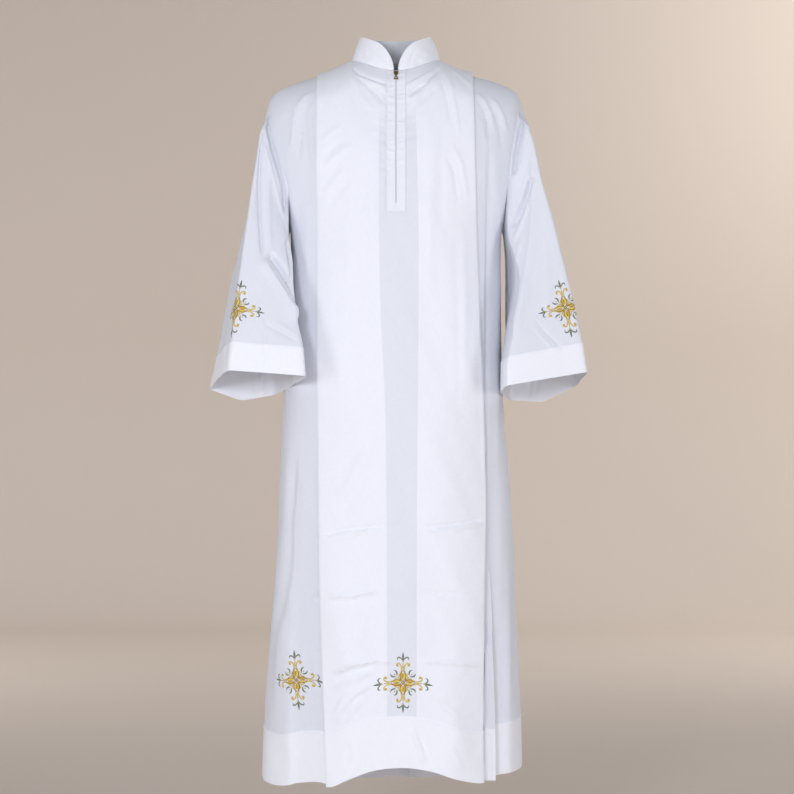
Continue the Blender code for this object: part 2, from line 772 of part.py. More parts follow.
class OnFront:
    """Points of the front panel's own wall, moved out from it; rows count down it, with fractions between."""

    def __init__(self, columns, middle, facing):
        first = len(columns) // 2 - len(BOX_COLUMNS[FRONT])
        last = len(columns) // 2 + len(BOX_COLUMNS[FRONT])
        self.xs = [column.x_at(0.0) for column in columns[first:last]]
        self.middle = middle[:, first:last]
        self.facing = facing[:, first:last]

    def read(self, grid, row, x):
        i = min(int(row), len(grid) - 2)
        j = min(max(int(np.searchsorted(self.xs, x)) - 1, 0), len(self.xs) - 2)
        t = (x - self.xs[j]) / (self.xs[j + 1] - self.xs[j])
        upper = mix(grid[i, j], grid[i, j + 1], t)
        lower = mix(grid[i + 1, j], grid[i + 1, j + 1], t)
        return mix(upper, lower, row - i)

    def point(self, row, x, lift):
        return self.read(self.middle, row, x) + self.read(self.facing, row, x) * lift

    def strip(self, rows, xs, lift, thick):
        outer = np.array([[self.point(row, x, lift + thick / 2) for x in xs] for row in rows])
        inner = np.array([[self.point(row, x, lift - thick / 2) for x in xs] for row in rows])
        return outer, inner


def build_zip_facing(on_front, cloth):
    """A band sewn round the slit: down one side, across its end and up the other."""
    xs = [-FACING_EDGE, -SLIT, SLIT, FACING_EDGE]
    rows = [ZIP_TOP_ROW, *range(1, SLIT_ROW + 1), FACING_END_ROW]
    lift = HALF + SEAM_GAP + FACING_WALL / 2
    outer, inner = on_front.strip(rows, xs, lift, FACING_WALL)
    missing = [(row, 1) for row in range(SLIT_ROW)]
    wall("zip_facing", outer, inner, cloth, missing)


def build_zip_tape(name, side, on_front, cloth):
    xs = sorted((side * TAPE_SPLIT, side * SLIT, side * TAPE_WIDTH))
    rows = [ZIP_TOP_ROW, *range(1, SLIT_ROW + 1), TAPE_END_ROW]
    lift = -(HALF + SEAM_GAP + TAPE_WALL / 2)
    outer, inner = on_front.strip(rows, xs, lift, TAPE_WALL)
    wall(name, outer, inner, cloth)


class SliderFrame:
    """Axes at the slider: across, down along the cloth, and out of it."""

    def __init__(self, on_front):
        upper = on_front.point(0, 0.0, 0.0)
        lower = on_front.point(1, 0.0, 0.0)
        row = (SLIDER_CENTRE - upper[2]) / (lower[2] - upper[2])
        self.down = unit((lower - upper) * (0, 1, 1))
        self.out = np.array((0.0, self.down[2], -self.down[1]))
        lift = HALF + SEAM_GAP + FACING_WALL + SEAM_GAP
        self.origin = mix(upper, lower, row) * (0, 1, 1) + self.out * lift

    def point(self, across, down, out):
        return self.origin + np.array((across, 0.0, 0.0)) + self.down * down + self.out * out


def block_between(frame, sections):
    """Points and faces of a stack of rectangles, each (down, half-width, back, front)."""
    points = []
    for down, half, back, front in sections:
        for across, out in ((-half, back), (half, back), (half, front), (-half, front)):
            points.append(frame.point(across, down, out))
    faces = [(0, 1, 2, 3)]
    for k in range(len(sections) - 1):
        a = 4 * k
        for i in range(4):
            j = (i + 1) % 4
            faces.append((a + i, a + 4 + i, a + 4 + j, a + j))
    last = 4 * (len(sections) - 1)
    faces.append((last + 3, last + 2, last + 1, last))
    return points, faces


def bail_curve(reach, high, low, bevel):
    """The bail's side view, as (down, out): up one foot, over its top and down the other."""
    rising = [(-reach, low), (-reach, high - bevel), (-reach + bevel, high)]
    return rising + [(-down, out) for down, out in rising[::-1]]


def build_zip_slider(on_front, metal):
    """The slider's body, narrowing to its foot, with the bail that holds the pull."""
    frame = SliderFrame(on_front)
    end = SLIDER_LENGTH / 2
    front = SLIDER_THICK
    shoulder = end - 2 * SLIDER_BEVEL
    points, faces = block_between(frame, (
        (-end, SLIDER_TOP_HALF * SLIDER_TAPER, SLIDER_BEVEL, front - SLIDER_BEVEL),
        (-shoulder, SLIDER_TOP_HALF, 0.0, front),
        (0.0, mix(SLIDER_TOP_HALF, SLIDER_FOOT_HALF, SLIDER_WAIST), 0.0, front),
        (shoulder, SLIDER_FOOT_HALF, 0.0, front),
        (end, SLIDER_FOOT_HALF * SLIDER_TAPER, SLIDER_BEVEL, front - SLIDER_BEVEL),
    ))
    body = add_object("zip_slider", points, faces, metal)
    reach = BAIL_LENGTH / 2
    high = front + BAIL_HEIGHT
    low = front - BAIL_SUNK
    arch = bail_curve(reach, high, low, BAIL_BEVEL)
    hollow = bail_curve(reach - BAIL_BAR, high - BAIL_BAR, low, BAIL_BEVEL / 2)
    outer = np.array([[frame.point(x, *place) for x in (-BAIL_HALF, BAIL_HALF)] for place in arch])
    inner = np.array([[frame.point(x, *place) for x in (-BAIL_HALF, BAIL_HALF)] for place in hollow])
    bail = wall("bail_shape", outer, inner, metal)
    union = body.modifiers.new("Bail", "BOOLEAN")
    union.operation = "UNION"
    union.object = bail
    bail.hide_render = True
    bail.display_type = "WIRE"
    return frame


def build_zip_pull(frame, metal):
    """The hanging tab, two open loops meeting at a waist, hinged on its top bar."""
    hinge = frame.point(0.0, PULL_DOWN, PULL_OUT)
    outer = []
    inner = []
    for below, half, hole in PULL_OUTLINE:
        across = (-half, -hole, hole, half)
        outer.append([frame.point(x * MM, PULL_DOWN + below * MM, PULL_OUT + PULL_WALL / 2) for x in across])
        inner.append([frame.point(x * MM, PULL_DOWN + below * MM, PULL_OUT - PULL_WALL / 2) for x in across])
    missing = [(row, 1) for row in PULL_OPEN_ROWS]
    pull = wall("zip_pull", np.array(outer) - hinge, np.array(inner) - hinge, metal, missing)
    pull.location = hinge
    return hinge


def main():
    """Makes every piece, from the two panels to the pull."""
    clear_scene()
    cloth = material("white_poly_cotton", (0.83, 0.85, 0.90), 0.85)
    collar_cloth = material("white_collar_cloth", (0.86, 0.87, 0.91), 0.85)
    tape = material("white_zip_tape", (0.78, 0.79, 0.84), 0.80)
    metal = material("antique_brass", (0.45, 0.36, 0.20), 0.35, 1.0)
    front, on_front = build_front(cloth)
    back = build_back(cloth)
    build_sleeve("sleeve_right", RIGHT, front, back, cloth)
    build_sleeve("sleeve_left", LEFT, front, back, cloth)
    build_collar(collar_cloth)
    build_zip_facing(on_front, cloth)
    build_zip_tape("zip_tape_right", RIGHT, on_front, tape)
    build_zip_tape("zip_tape_left", LEFT, on_front, tape)
    frame = build_zip_slider(on_front, metal)
    hinge = build_zip_pull(frame, metal)
    print("pull hinge:", [round(float(value), 5) for value in hinge])


main()
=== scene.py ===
# An alb: white poly-cotton vestment, worn form. Metres, +Z up, front towards -Y, wearer's right at -X.
import math
import random

import bmesh
import bpy
import numpy as np
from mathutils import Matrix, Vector


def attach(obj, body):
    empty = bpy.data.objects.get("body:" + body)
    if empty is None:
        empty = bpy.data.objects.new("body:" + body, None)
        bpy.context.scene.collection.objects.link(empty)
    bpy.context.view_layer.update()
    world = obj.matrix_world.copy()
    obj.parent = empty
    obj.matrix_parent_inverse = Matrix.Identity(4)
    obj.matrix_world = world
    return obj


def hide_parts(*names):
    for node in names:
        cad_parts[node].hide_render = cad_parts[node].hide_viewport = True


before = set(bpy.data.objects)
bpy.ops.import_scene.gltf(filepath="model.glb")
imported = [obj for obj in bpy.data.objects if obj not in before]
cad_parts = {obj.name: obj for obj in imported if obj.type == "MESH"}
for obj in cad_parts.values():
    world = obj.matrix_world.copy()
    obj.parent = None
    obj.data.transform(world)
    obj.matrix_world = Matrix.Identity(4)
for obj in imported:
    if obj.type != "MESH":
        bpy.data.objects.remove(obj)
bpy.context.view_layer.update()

mm = 0.001
front = -1
back = 1
right = -1
left = 1
tries = 12  # rounds of closing in on a place on the curved cloth
farOff = 9.0  # farther than anything here
lastCell = 1.001  # keeps a place inside the last cell of a grid
# the white cloth's colour carries painted shade for thin cloth, which is gone at this many layers
whitestPlies = 3.6  # layers of cloth that let no shade through any more
sideName = {right: "right", left: "left"}
faceName = {front: "front", back: "back"}


# Small helpers for arrays

def mix(a, b, t):
    return a + (b - a) * t


def smooth(t):
    t = np.clip(t, 0.0, 1.0)
    return t * t * (3 - 2 * t)


def unit(vectors):
    return vectors / np.maximum(np.linalg.norm(vectors, axis=-1, keepdims=True), 1e-12)


def sizeTable(names, *rows):
    # the first column is the key, the others are read as smooth curves along it
    rows = sorted(rows)
    keys = np.array([row[0] for row in rows], dtype=float)
    table = {"keys": keys}
    for i, name in enumerate(names):
        values = np.array([row[i] for row in rows], dtype=float)
        table[name] = (values, np.gradient(values, keys))
    return table


def curved(a, b, leave, arrive, t):
    # from a to b, leaving and arriving with the given slopes
    start = (2 * t**3 - 3 * t**2 + 1) * a + (t**3 - 2 * t**2 + t) * leave
    return start + ((3 * t**2 - 2 * t**3) * b + (t**3 - t**2) * arrive)


def readTable(table, name, key):
    keys = table["keys"]
    values, slopes = table[name]
    key = np.clip(key, keys[0], keys[-1])
    i = np.clip(np.searchsorted(keys, key) - 1, 0, len(keys) - 2)
    step = keys[i + 1] - keys[i]
    return curved(values[i], values[i + 1], step * slopes[i], step * slopes[i + 1], (key - keys[i]) / step)


def lengthsAlong(points, axis=0):
    # how far along a line of points each one lies, or along the rows or columns of a grid
    steps = np.linalg.norm(np.diff(points, axis=axis), axis=-1)
    return np.concatenate([np.zeros_like(np.take(steps, [0], axis=axis)), np.cumsum(steps, axis=axis)], axis=axis)


# The worn form: the same sizes as the solids', in metres

body = {
    "fullness": 2.4,
    "round": 0.07,
    "underarm": -0.335,
    "slitEnd": -0.294,
    "hemLevel": -1.42,
    "hemDepth": 0.098,
    "hemLine": 3.0 * mm,
    "neckSide": 0.088,
    "neckDeep": {front: 0.095, back: 0.065},
    "neckRise": {front: 0.010, back: 0.034},
    "layer": 3.0 * mm,
    "pleatOpensBelow": -0.45,
    "pleatOpensOver": 0.95,
    "openAtHem": {front: 0.016, back: 0.009},
    "sideSinks": 1.15,
}

bodyShape = sizeTable(
    ("z", "right", "left", "front", "back"),
    (0.040, 0.270, 0.265, 0.098, 0.072),
    (-0.030, 0.269, 0.264, 0.105, 0.090),
    (-0.056, 0.268, 0.262, 0.112, 0.098),
    (-0.084, 0.267, 0.260, 0.121, 0.105),
    (-0.130, 0.266, 0.255, 0.132, 0.116),
    (-0.183, 0.2595, 0.251, 0.144, 0.124),
    (-0.252, 0.2366, 0.2396, 0.152, 0.129),
    (-0.311, 0.2163, 0.2205, 0.158, 0.131),
    (-0.335, 0.212, 0.212, 0.160, 0.132),
    (-0.450, 0.214, 0.210, 0.164, 0.134),
    (-0.650, 0.223, 0.213, 0.170, 0.142),
    (-0.820, 0.232, 0.224, 0.176, 0.150),
    (-0.976, 0.238, 0.236, 0.183, 0.160),
    (-1.100, 0.247, 0.240, 0.189, 0.170),
    (-1.216, 0.257, 0.246, 0.195, 0.180),
    (-1.340, 0.264, 0.250, 0.201, 0.190),
    (-1.470, 0.268, 0.252, 0.207, 0.200),
)

armholeShape = sizeTable(
    ("z", "right", "left"),
    (-0.070, 0.2570, 0.2480),
    (-0.0815, 0.2560, 0.2465),
    (-0.130, 0.2500, 0.2400),
    (-0.183, 0.2366, 0.2310),
    (-0.252, 0.2150, 0.2240),
    (-0.311, 0.2115, 0.2155),
    (-0.335, 0.2120, 0.2120),
)

shoulderShape = sizeTable(
    ("x", "right", "left"),
    (0.088, 0.000, 0.001),
    (0.108, -0.009, -0.009),
    (0.132, -0.019, -0.018),
    (0.162, -0.0265, -0.0255),
    (0.196, -0.0385, -0.0365),
    (0.226, -0.0535, -0.0525),
    (0.244, -0.0665, -0.0680),
    (0.256, -0.0815, -0.0830),
    (0.280, -0.1250, -0.1250),
)

pleatShape = {
    front: sizeTable(
        ("z", "rightEdge", "rightUnder", "leftUnder", "leftEdge"),
        (0.030, -0.1545, -0.0325, 0.0380, 0.1495),
        (-0.100, -0.1544, -0.0330, 0.0390, 0.1515),
        (-0.380, -0.1533, -0.0325, 0.0440, 0.1590),
        (-0.520, -0.1530, -0.0290, 0.0435, 0.1635),
        (-0.670, -0.1528, -0.0215, 0.0425, 0.1680),
        (-0.860, -0.1500, -0.0185, 0.0410, 0.1745),
        (-1.060, -0.1465, -0.0175, 0.0400, 0.1705),
        (-1.420, -0.1327, -0.0170, 0.0400, 0.1690),
    ),
    back: sizeTable(
        ("z", "rightEdge", "rightUnder", "leftUnder", "leftEdge"),
        (0.040, -0.1380, -0.0300, 0.0300, 0.1360),
        (-0.600, -0.1380, -0.0290, 0.0310, 0.1370),
        (-1.470, -0.1300, -0.0270, 0.0300, 0.1340),
    ),
}

hemShape = {
    front: sizeTable(
        ("x", "height"),
        (-0.266, -1.4260),
        (-0.239, -1.4285),
        (-0.190, -1.4175),
        (-0.150, -1.4155),
        (-0.133, -1.4205),
        (-0.090, -1.4040),
        (-0.045, -1.3880),
        (0.008, -1.3820),
        (0.070, -1.3900),
        (0.125, -1.4080),
        (0.169, -1.4160),
        (0.205, -1.4070),
        (0.250, -1.4020),
    ),
    back: sizeTable(
        ("x", "height"),
        (-0.266, -1.4260),
        (-0.200, -1.4420),
        (-0.110, -1.4560),
        (0.000, -1.4600),
        (0.110, -1.4520),
        (0.200, -1.4250),
        (0.250, -1.4020),
    ),
}

# The widest folds: x where each starts, x at the hem, start height, half-width, rise at the hem
wideFolds = {
    front: (
        (-0.205, -0.214, -0.50, 0.016, 0.008),
        (-0.080, -0.094, -0.80, 0.034, 0.007),
        (0.105, 0.112, -0.72, 0.030, 0.006),
        (0.182, 0.186, -0.25, 0.0075, 0.012),
        (0.214, 0.226, -0.42, 0.010, 0.008),
    ),
    back: (
        (-0.196, -0.216, -0.42, 0.016, 0.012),
        (-0.090, -0.104, -0.40, 0.024, 0.012),
        (-0.012, -0.004, -0.62, 0.030, 0.010),
        (0.076, 0.088, -0.46, 0.026, 0.013),
        (0.190, 0.204, -0.38, 0.015, 0.012),
    ),
}


def readSides(table, x, key):
    # the wearer's right and left have sizes of their own
    return np.where(x < 0, readTable(table, "right", key), readTable(table, "left", key))


def seamHeight(face, x):
    # the shoulder seam outside the neck, the neckline's own curve between its sides
    reach = np.abs(x)
    outside = readSides(shoulderShape, x, reach)
    share = x / body["neckSide"]
    rightEnd = readTable(shoulderShape, "right", body["neckSide"])
    leftEnd = readTable(shoulderShape, "left", body["neckSide"])
    inside = mix(rightEnd, leftEnd, (share + 1) / 2) + body["neckRise"][face] * (1 - share**2)
    return np.where(reach >= body["neckSide"], outside, inside)


def foldRise(face, x, z):
    rise = 0.0
    for xStart, xHem, start, halfWidth, height in wideFolds[face]:
        grown = smooth((start - z) / (start - body["hemLevel"]))
        rise = rise + height * grown * np.exp(-(((x - mix(xStart, xHem, grown)) / halfWidth) ** 2))
    return rise


def clothHeight(face, x, down):
    # down is 0 at the shoulder seam, 1 where the cloth hangs, then metres
    turn = np.minimum(down, 1.0) * math.pi / 2
    return seamHeight(face, x) - body["round"] * (1 - np.cos(turn)) - np.maximum(down - 1.0, 0.0)


def clothPoint(face, x, down):
    z = clothHeight(face, x, down)
    girth = readSides(bodyShape, x, z)
    share = np.maximum(1 - np.abs(x / girth) ** body["fullness"], 0.0) ** (1 / body["fullness"])
    depth = readTable(bodyShape, faceName[face], z)
    reach = depth * share + foldRise(face, x, z) * np.minimum(share * 2, 1.0)
    return np.stack((x, face * reach * np.sin(np.minimum(down, 1.0) * math.pi / 2), z), axis=-1)


def clothDirections(face, x, down):
    # the point, the way its outer side faces and the way across, from points a tiny step away
    tiny = 2e-4
    inward = np.where(x > 0, -tiny, tiny)
    here = clothPoint(face, x, down)
    along = (clothPoint(face, x + inward, down) - here) / inward[..., None]
    low = clothPoint(face, x, down + tiny) - clothPoint(face, x, np.maximum(down - tiny, 0.0))
    return here, unit(np.cross(along, low) * face), unit(along)


def downAt(face, x, z):
    # clothHeight the other way round: how far down a height lies
    drop = seamHeight(face, x) - z
    onRound = np.arccos(np.clip(1 - drop / body["round"], -1.0, 1.0)) / (math.pi / 2)
    return np.where(drop >= body["round"], 1 + drop - body["round"], onRound)


def neckDown(face, x):
    # how far down from the seam the neck opening's edge lies
    share = np.clip(1 - (x / body["neckSide"]) ** 2, 0.0, 1.0)
    reach = body["neckDeep"][face] * np.sqrt(share)
    down = np.full_like(reach, 0.5)
    for _ in range(tries):
        y = np.abs(clothPoint(face, x, down)[..., 1])
        full = y / np.maximum(np.sin(down * math.pi / 2), 1e-6)
        down = np.arcsin(np.minimum(reach / np.maximum(full, 1e-9), 1.0)) / (math.pi / 2)
    return np.where(share > 0, down, 0.0)


def panelEdge(side, z):
    name = sideName[side]
    hanging = side * readTable(bodyShape, name, z)
    return np.where(z > body["underarm"], side * readTable(armholeShape, name, z), hanging)


def pleatOpen(face, z):
    return body["openAtHem"][face] * smooth((body["pleatOpensBelow"] - z) / body["pleatOpensOver"])


# Creases and soft unevenness

def distanceToLine(points, line):
    # nearest distance from each point to a run of straight stretches, how far along it that is,
    # and whether the point lies on the wearer's left of it, the line going down
    line = np.array(line, dtype=float)
    lengths = np.linalg.norm(np.diff(line, axis=0), axis=1)
    total = lengths.sum()
    best = np.full(points.shape[:-1], farOff)
    place = np.zeros(points.shape[:-1])
    onLeft = np.zeros(points.shape[:-1], dtype=bool)
    gone = 0.0
    for a, b, length in zip(line, line[1:], lengths):
        t = np.clip(((points - a) @ (b - a)) / length**2, 0.0, 1.0)
        away = points - (a + t[..., None] * (b - a))
        distance = np.linalg.norm(away, axis=-1)
        nearer = distance < best
        best = np.where(nearer, distance, best)
        place = np.where(nearer, (gone + t * length) / total, place)
        onLeft = np.where(nearer, (b[0] - a[0]) * away[..., 1] > (b[1] - a[1]) * away[..., 0], onLeft)
        gone += length
    return best, place, onLeft


creaseReach = 3.5  # half-widths; beyond this a crease has faded out


def creaseField(points, creases):
    # rise and half-width in mm (two half-widths, left and right, where one flank is steeper),
    # how far the ends fade (share), then the line in mm
    field = np.zeros(points.shape[:-1])
    for rise, halfWidth, fade, line in creases:
        line = np.array(line, dtype=float) * mm
        leftWidth, rightWidth = np.broadcast_to(halfWidth, 2) * mm
        reach = creaseReach * max(leftWidth, rightWidth)
        low = line.min(axis=0) - reach
        high = line.max(axis=0) + reach
        near = np.all((points > low) & (points < high), axis=-1)
        if not near.any():
            continue
        distance, place, onLeft = distanceToLine(points[near], line)
        width = np.where(onLeft, leftWidth, rightWidth)
        ends = smooth(place / fade) * smooth((1 - place) / fade)
        field[near] += rise * mm * np.exp(-((distance / width) ** 2)) * ends
    return field


uneven = {"wavesEach": 4, "lengths": (0.7, 1.4)}


def unevenness(a, b, waves, seed, height):
    # a sum of slanting waves: (wavelength across, wavelength down, share of the height), in metres
    chance = random.Random(seed)
    field = np.zeros(np.shape(a))
    for across, down, share in waves:
        for _ in range(uneven["wavesEach"]):
            turn = chance.uniform(0, 2 * math.pi)
            ka = 2 * math.pi / (across * chance.uniform(*uneven["lengths"])) * chance.choice((-1, 1))
            kb = 2 * math.pi / (down * chance.uniform(*uneven["lengths"]))
            field = field + share * np.sin(ka * a + kb * b + turn) / 2
    return field * height


# Creases seen square on to each face: x to the wearer's left and z up, in mm. A ridge rises, a trough sinks.

creases = {
    front: [
        # under the collar, each way from the zip
        (-4.2, (2.4, 3.4), 0.12, ((-87, -20), (-74, -34), (-47, -49), (-17, -59))),
        (2.0, 3.0, 0.2, ((-70, -34), (-43, -55), (-17, -71))),
        (-2.6, 3.0, 0.2, ((-80, -38), (-50, -68), (-23, -94))),
        (1.7, 4.0, 0.25, ((-87, -34), (-70, -78), (-43, -117))),
        (-1.0, 4.5, 0.3, ((-89, -43), (-81, -86), (-62, -140))),
        (-4.2, (3.2, 2.4), 0.12, ((88, -20), (70, -41), (47, -63), (21, -86))),
        (2.0, 3.0, 0.25, ((78, -24), (54, -43), (25, -59))),
        (2.2, 3.0, 0.2, ((83, -38), (56, -69), (23, -98))),
        (-2.2, 3.2, 0.2, ((80, -60), (54, -88), (27, -112))),
        (1.8, 3.4, 0.25, ((93, -24), (107, -59), (118, -117), (124, -168))),
        (-1.6, 3.8, 0.25, ((85, -36), (99, -86), (109, -140))),
        (1.6, 3.6, 0.25, ((105, -22), (128, -40), (153, -63))),
        # the box panel's chest, all soft
        (1.9, 5.0, 0.25, ((-147, -173), (-126, -154), (-101, -138))),
        (2.2, 5.5, 0.25, ((-146, -232), (-124, -206), (-99, -187), (-74, -179))),
        (-1.8, 5.0, 0.25, ((-146, -204), (-122, -183), (-97, -166))),
        (1.9, 5.5, 0.25, ((-144, -280), (-122, -251), (-95, -222))),
        (-1.5, 5.5, 0.25, ((-140, -307), (-116, -278), (-85, -245))),
        (2.0, 5.0, 0.25, ((105, -173), (128, -216), (140, -292))),
        (-1.9, 5.0, 0.25, ((93, -191), (113, -230), (122, -299))),
        (1.1, 7.0, 0.35, ((-45, -220), (-43, -298), (-47, -408))),
        (1.9, 14.0, 0.35, ((-89, -171), (-93, -404), (-97, -676))),
        (-1.6, 9.0, 0.35, ((-64, -201), (-66, -482))),
        (1.8, 9.0, 0.35, ((70, -133), (66, -327), (64, -486))),
        (-1.5, 8.0, 0.35, ((89, -117), (87, -369))),
        (1.6, 7.0, 0.35, ((130, -307), (134, -482), (132, -641))),
        (-1.1, 6.0, 0.35, ((114, -327), (120, -540), (122, -715))),
        (1.6, 4.5, 0.3, ((157, -482), (165, -598), (171, -715), (173, -870))),
        # side panels, from the shoulders down
        (4.0, (2.8, 4.5), 0.15, ((-159, -63), (-180, -78), (-194, -98), (-202, -133), (-206, -195))),
        (-3.2, 3.0, 0.2, ((-161, -78), (-178, -100), (-186, -148), (-192, -214))),
        (2.2, 3.2, 0.25, ((-173, -100), (-167, -152), (-163, -214))),
        (-2.2, 3.2, 0.25, ((-180, -110), (-175, -168), (-171, -230))),
        (1.2, 7.0, 0.35, ((-223, -125), (-215, -191), (-206, -288), (-202, -408))),
        (-1.2, 5.0, 0.3, ((-194, -249), (-192, -365), (-190, -482))),
        (1.2, 5.0, 0.3, ((-178, -230), (-177, -385), (-177, -521))),
        (3.4, 3.0, 0.2, ((155, -67), (175, -86), (188, -113), (192, -144))),
        (-3.4, 2.8, 0.2, ((157, -82), (173, -102), (182, -129), (184, -168))),
        (3.6, 3.0, 0.2, ((188, -76), (200, -94), (211, -117), (219, -152))),
        (-3.0, 3.0, 0.2, ((180, -88), (194, -109), (204, -136), (208, -187))),
        (2.2, 3.2, 0.25, ((159, -113), (171, -136), (177, -185))),
        (-5.0, (5.5, 4.0), 0.15, ((184, -148), (184, -249), (184, -385), (184, -559), (182, -734), (182, -870))),
        (3.2, 5.5, 0.2, ((200, -210), (202, -365), (202, -540), (200, -715), (202, -870))),
        # where the skirt was folded for packing
        (-3.8, 3.4, 0.12, ((-144, -938), (-99, -926), (-19, -918))),
        (2.3, 3.4, 0.12, ((-144, -945), (-99, -934), (-19, -926))),
        (-1.5, 3.2, 0.2, ((-23, -918), (12, -916), (47, -920))),
        (-3.8, 3.4, 0.12, ((43, -922), (105, -918), (173, -909))),
        (2.3, 3.4, 0.12, ((43, -930), (105, -926), (173, -916))),
        (3.4, 4.4, 0.2, ((-136, -1057), (-89, -1053), (-23, -1043))),
        (-2.4, 4.4, 0.2, ((-136, -1066), (-89, -1062), (-23, -1052))),
        (2.0, 3.2, 0.2, ((-27, -1044), (12, -1044), (48, -1046))),
        (-3.4, 4.2, 0.2, ((43, -1048), (85, -1050), (134, -1052))),
        (2.0, 4.2, 0.2, ((43, -1055), (85, -1057), (134, -1059))),
        (3.8, 3.4, 0.15, ((-122, -1205), (-89, -1188), (-47, -1178), (0, -1178))),
        (-2.6, 3.4, 0.2, ((-122, -1213), (-89, -1196), (-47, -1186))),
        (3.4, 3.4, 0.15, ((45, -1178), (101, -1182), (167, -1190))),
        # above and in the hem
        (2.7, 3.4, 0.2, ((-124, -1235), (-85, -1215), (-37, -1194))),
        (-2.5, 3.4, 0.2, ((-124, -1223), (-89, -1205), (-41, -1186))),
        (3.0, 3.4, 0.2, ((-116, -1304), (-97, -1266), (-74, -1238), (-37, -1217))),
        (2.5, 3.4, 0.25, ((-120, -1283), (-103, -1252), (-83, -1231))),
        (-2.5, 3.4, 0.25, ((-109, -1293), (-89, -1260), (-64, -1236))),
        (2.3, 3.7, 0.3, ((-97, -1300), (-80, -1269), (-54, -1244))),
        (2.1, 4.6, 0.3, ((80, -1236), (99, -1266), (130, -1295))),
        (-1.7, 4.6, 0.3, ((68, -1244), (87, -1273), (114, -1300))),
        (3.0, 4.1, 0.25, ((25, -1299), (41, -1332), (56, -1382))),
        (-2.7, 4.4, 0.25, ((39, -1304), (54, -1339), (72, -1386))),
        (2.3, 4.6, 0.3, ((99, -1328), (114, -1359), (130, -1390))),
        (-1.9, 5.8, 0.3, ((-89, -1332), (-95, -1382))),
        (-3.4, 14.9, 0.35, ((-16, -750), (-58, -823), (-95, -881), (-132, -924))),
        (2.5, 10.3, 0.35, ((-35, -734), (-81, -823), (-120, -885))),
        (1.9, 6.3, 0.3, ((-45, -1060), (-64, -1103), (-68, -1165))),
        # side panels of the skirt
        (-5.7, (3.2, 8.0), 0.15, ((-196, -753), (-204, -850), (-210, -928), (-213, -1006), (-221, -1068),
                                  (-235, -1122), (-244, -1184), (-248, -1258), (-246, -1316))),
        (2.1, 8.0, 0.3, ((-180, -765), (-186, -909), (-192, -1064), (-202, -1180))),
        (2.0, 5.0, 0.3, ((-213, -765), (-219, -909), (-227, -998))),
        (-6.5, 9.0, 0.4, ((-174, -1058), (-161, -1063), (-147, -1070))),
        (-1.8, 4.0, 0.3, ((-159, -909), (-157, -986), (-155, -1044))),
        (-1.4, 5.0, 0.3, ((-171, -1141), (-165, -1258), (-159, -1316))),
        (-6.0, (7.5, 3.2), 0.15, ((180, -812), (180, -947), (180, -1044), (184, -1126), (196, -1180), (210, -1209),
                                  (225, -1229))),
        (2.7, 7.0, 0.3, ((204, -812), (208, -986), (210, -1141))),
        (2.4, 3.2, 0.2, ((223, -978), (225, -1103), (227, -1190), (225, -1268), (223, -1304))),
        (-2.2, 3.2, 0.2, ((231, -1044), (233, -1141), (233, -1258))),
        (1.4, 3.2, 0.25, ((192, -1056), (208, -1050), (223, -1046))),
        (1.2, 3.2, 0.25, ((194, -1103), (210, -1095), (223, -1089))),
        (-1.2, 3.2, 0.25, ((196, -1141), (210, -1136), (223, -1132))),
        (1.5, 3.4, 0.25, ((202, -1258), (215, -1281), (213, -1335))),
    ],
    back: [
        # under the collar and across the shoulders
        (2.5, 5.0, 0.25, ((-78, -6), (-60, -30), (-34, -44), (-6, -50))),
        (-2.1, 5.0, 0.25, ((-84, -20), (-62, -48), (-30, -62))),
        (2.4, 5.0, 0.25, ((80, -8), (58, -34), (30, -50))),
        (2.0, 6.5, 0.3, ((-140, -62), (-118, -96), (-104, -150))),
        (2.2, 6.0, 0.3, ((140, -60), (120, -104), (112, -160))),
        (-1.8, 7.0, 0.3, ((128, -84), (104, -130), (98, -190))),
        (2.8, 6.5, 0.25, ((-160, -64), (-186, -92), (-199, -140), (-206, -222))),
        (-2.8, 6.5, 0.25, ((-168, -94), (-184, -138), (-190, -226))),
        (2.9, 6.5, 0.25, ((162, -62), (190, -94), (206, -150), (212, -240))),
        (-3.1, 7.5, 0.25, ((176, -104), (192, -170), (196, -280), (196, -420))),
        # long soft ones down the middle
        (2.0, 13.0, 0.35, ((-60, -170), (-68, -380), (-66, -640))),
        (-1.8, 11.0, 0.35, ((-22, -220), (-26, -520))),
        (1.7, 12.0, 0.35, ((34, -160), (40, -350), (52, -600))),
        (1.4, 8.0, 0.35, ((104, -240), (108, -430), (104, -610))),
        # packing folds
        (1.3, 4.0, 0.2, ((-128, -706), (-60, -700), (8, -698), (70, -702), (124, -698))),
        (-1.1, 4.0, 0.2, ((-128, -716), (-60, -710), (8, -708), (70, -712), (124, -708))),
        (1.5, 4.0, 0.2, ((-126, -1018), (-50, -1026), (40, -1020), (120, -1028))),
        (-1.3, 4.0, 0.2, ((-126, -1028), (-50, -1036), (40, -1030), (120, -1038))),
        # skirt
        (2.1, 6.0, 0.3, ((-110, -1190), (-84, -1240), (-70, -1310))),
        (-1.8, 6.0, 0.3, ((-92, -1180), (-64, -1232), (-52, -1300))),
        (2.1, 6.0, 0.3, ((96, -1160), (76, -1230), (78, -1300))),
        (-3.1, 9.0, 0.25, ((-184, -640), (-194, -800), (-206, -960), (-212, -1140))),
        (2.5, 8.0, 0.3, ((-220, -700), (-228, -900), (-238, -1080))),
        (-3.1, 8.0, 0.25, ((176, -600), (182, -820), (192, -1010), (204, -1180))),
        (2.7, 8.0, 0.3, ((208, -660), (214, -860), (220, -1060), (226, -1240))),
    ],
}

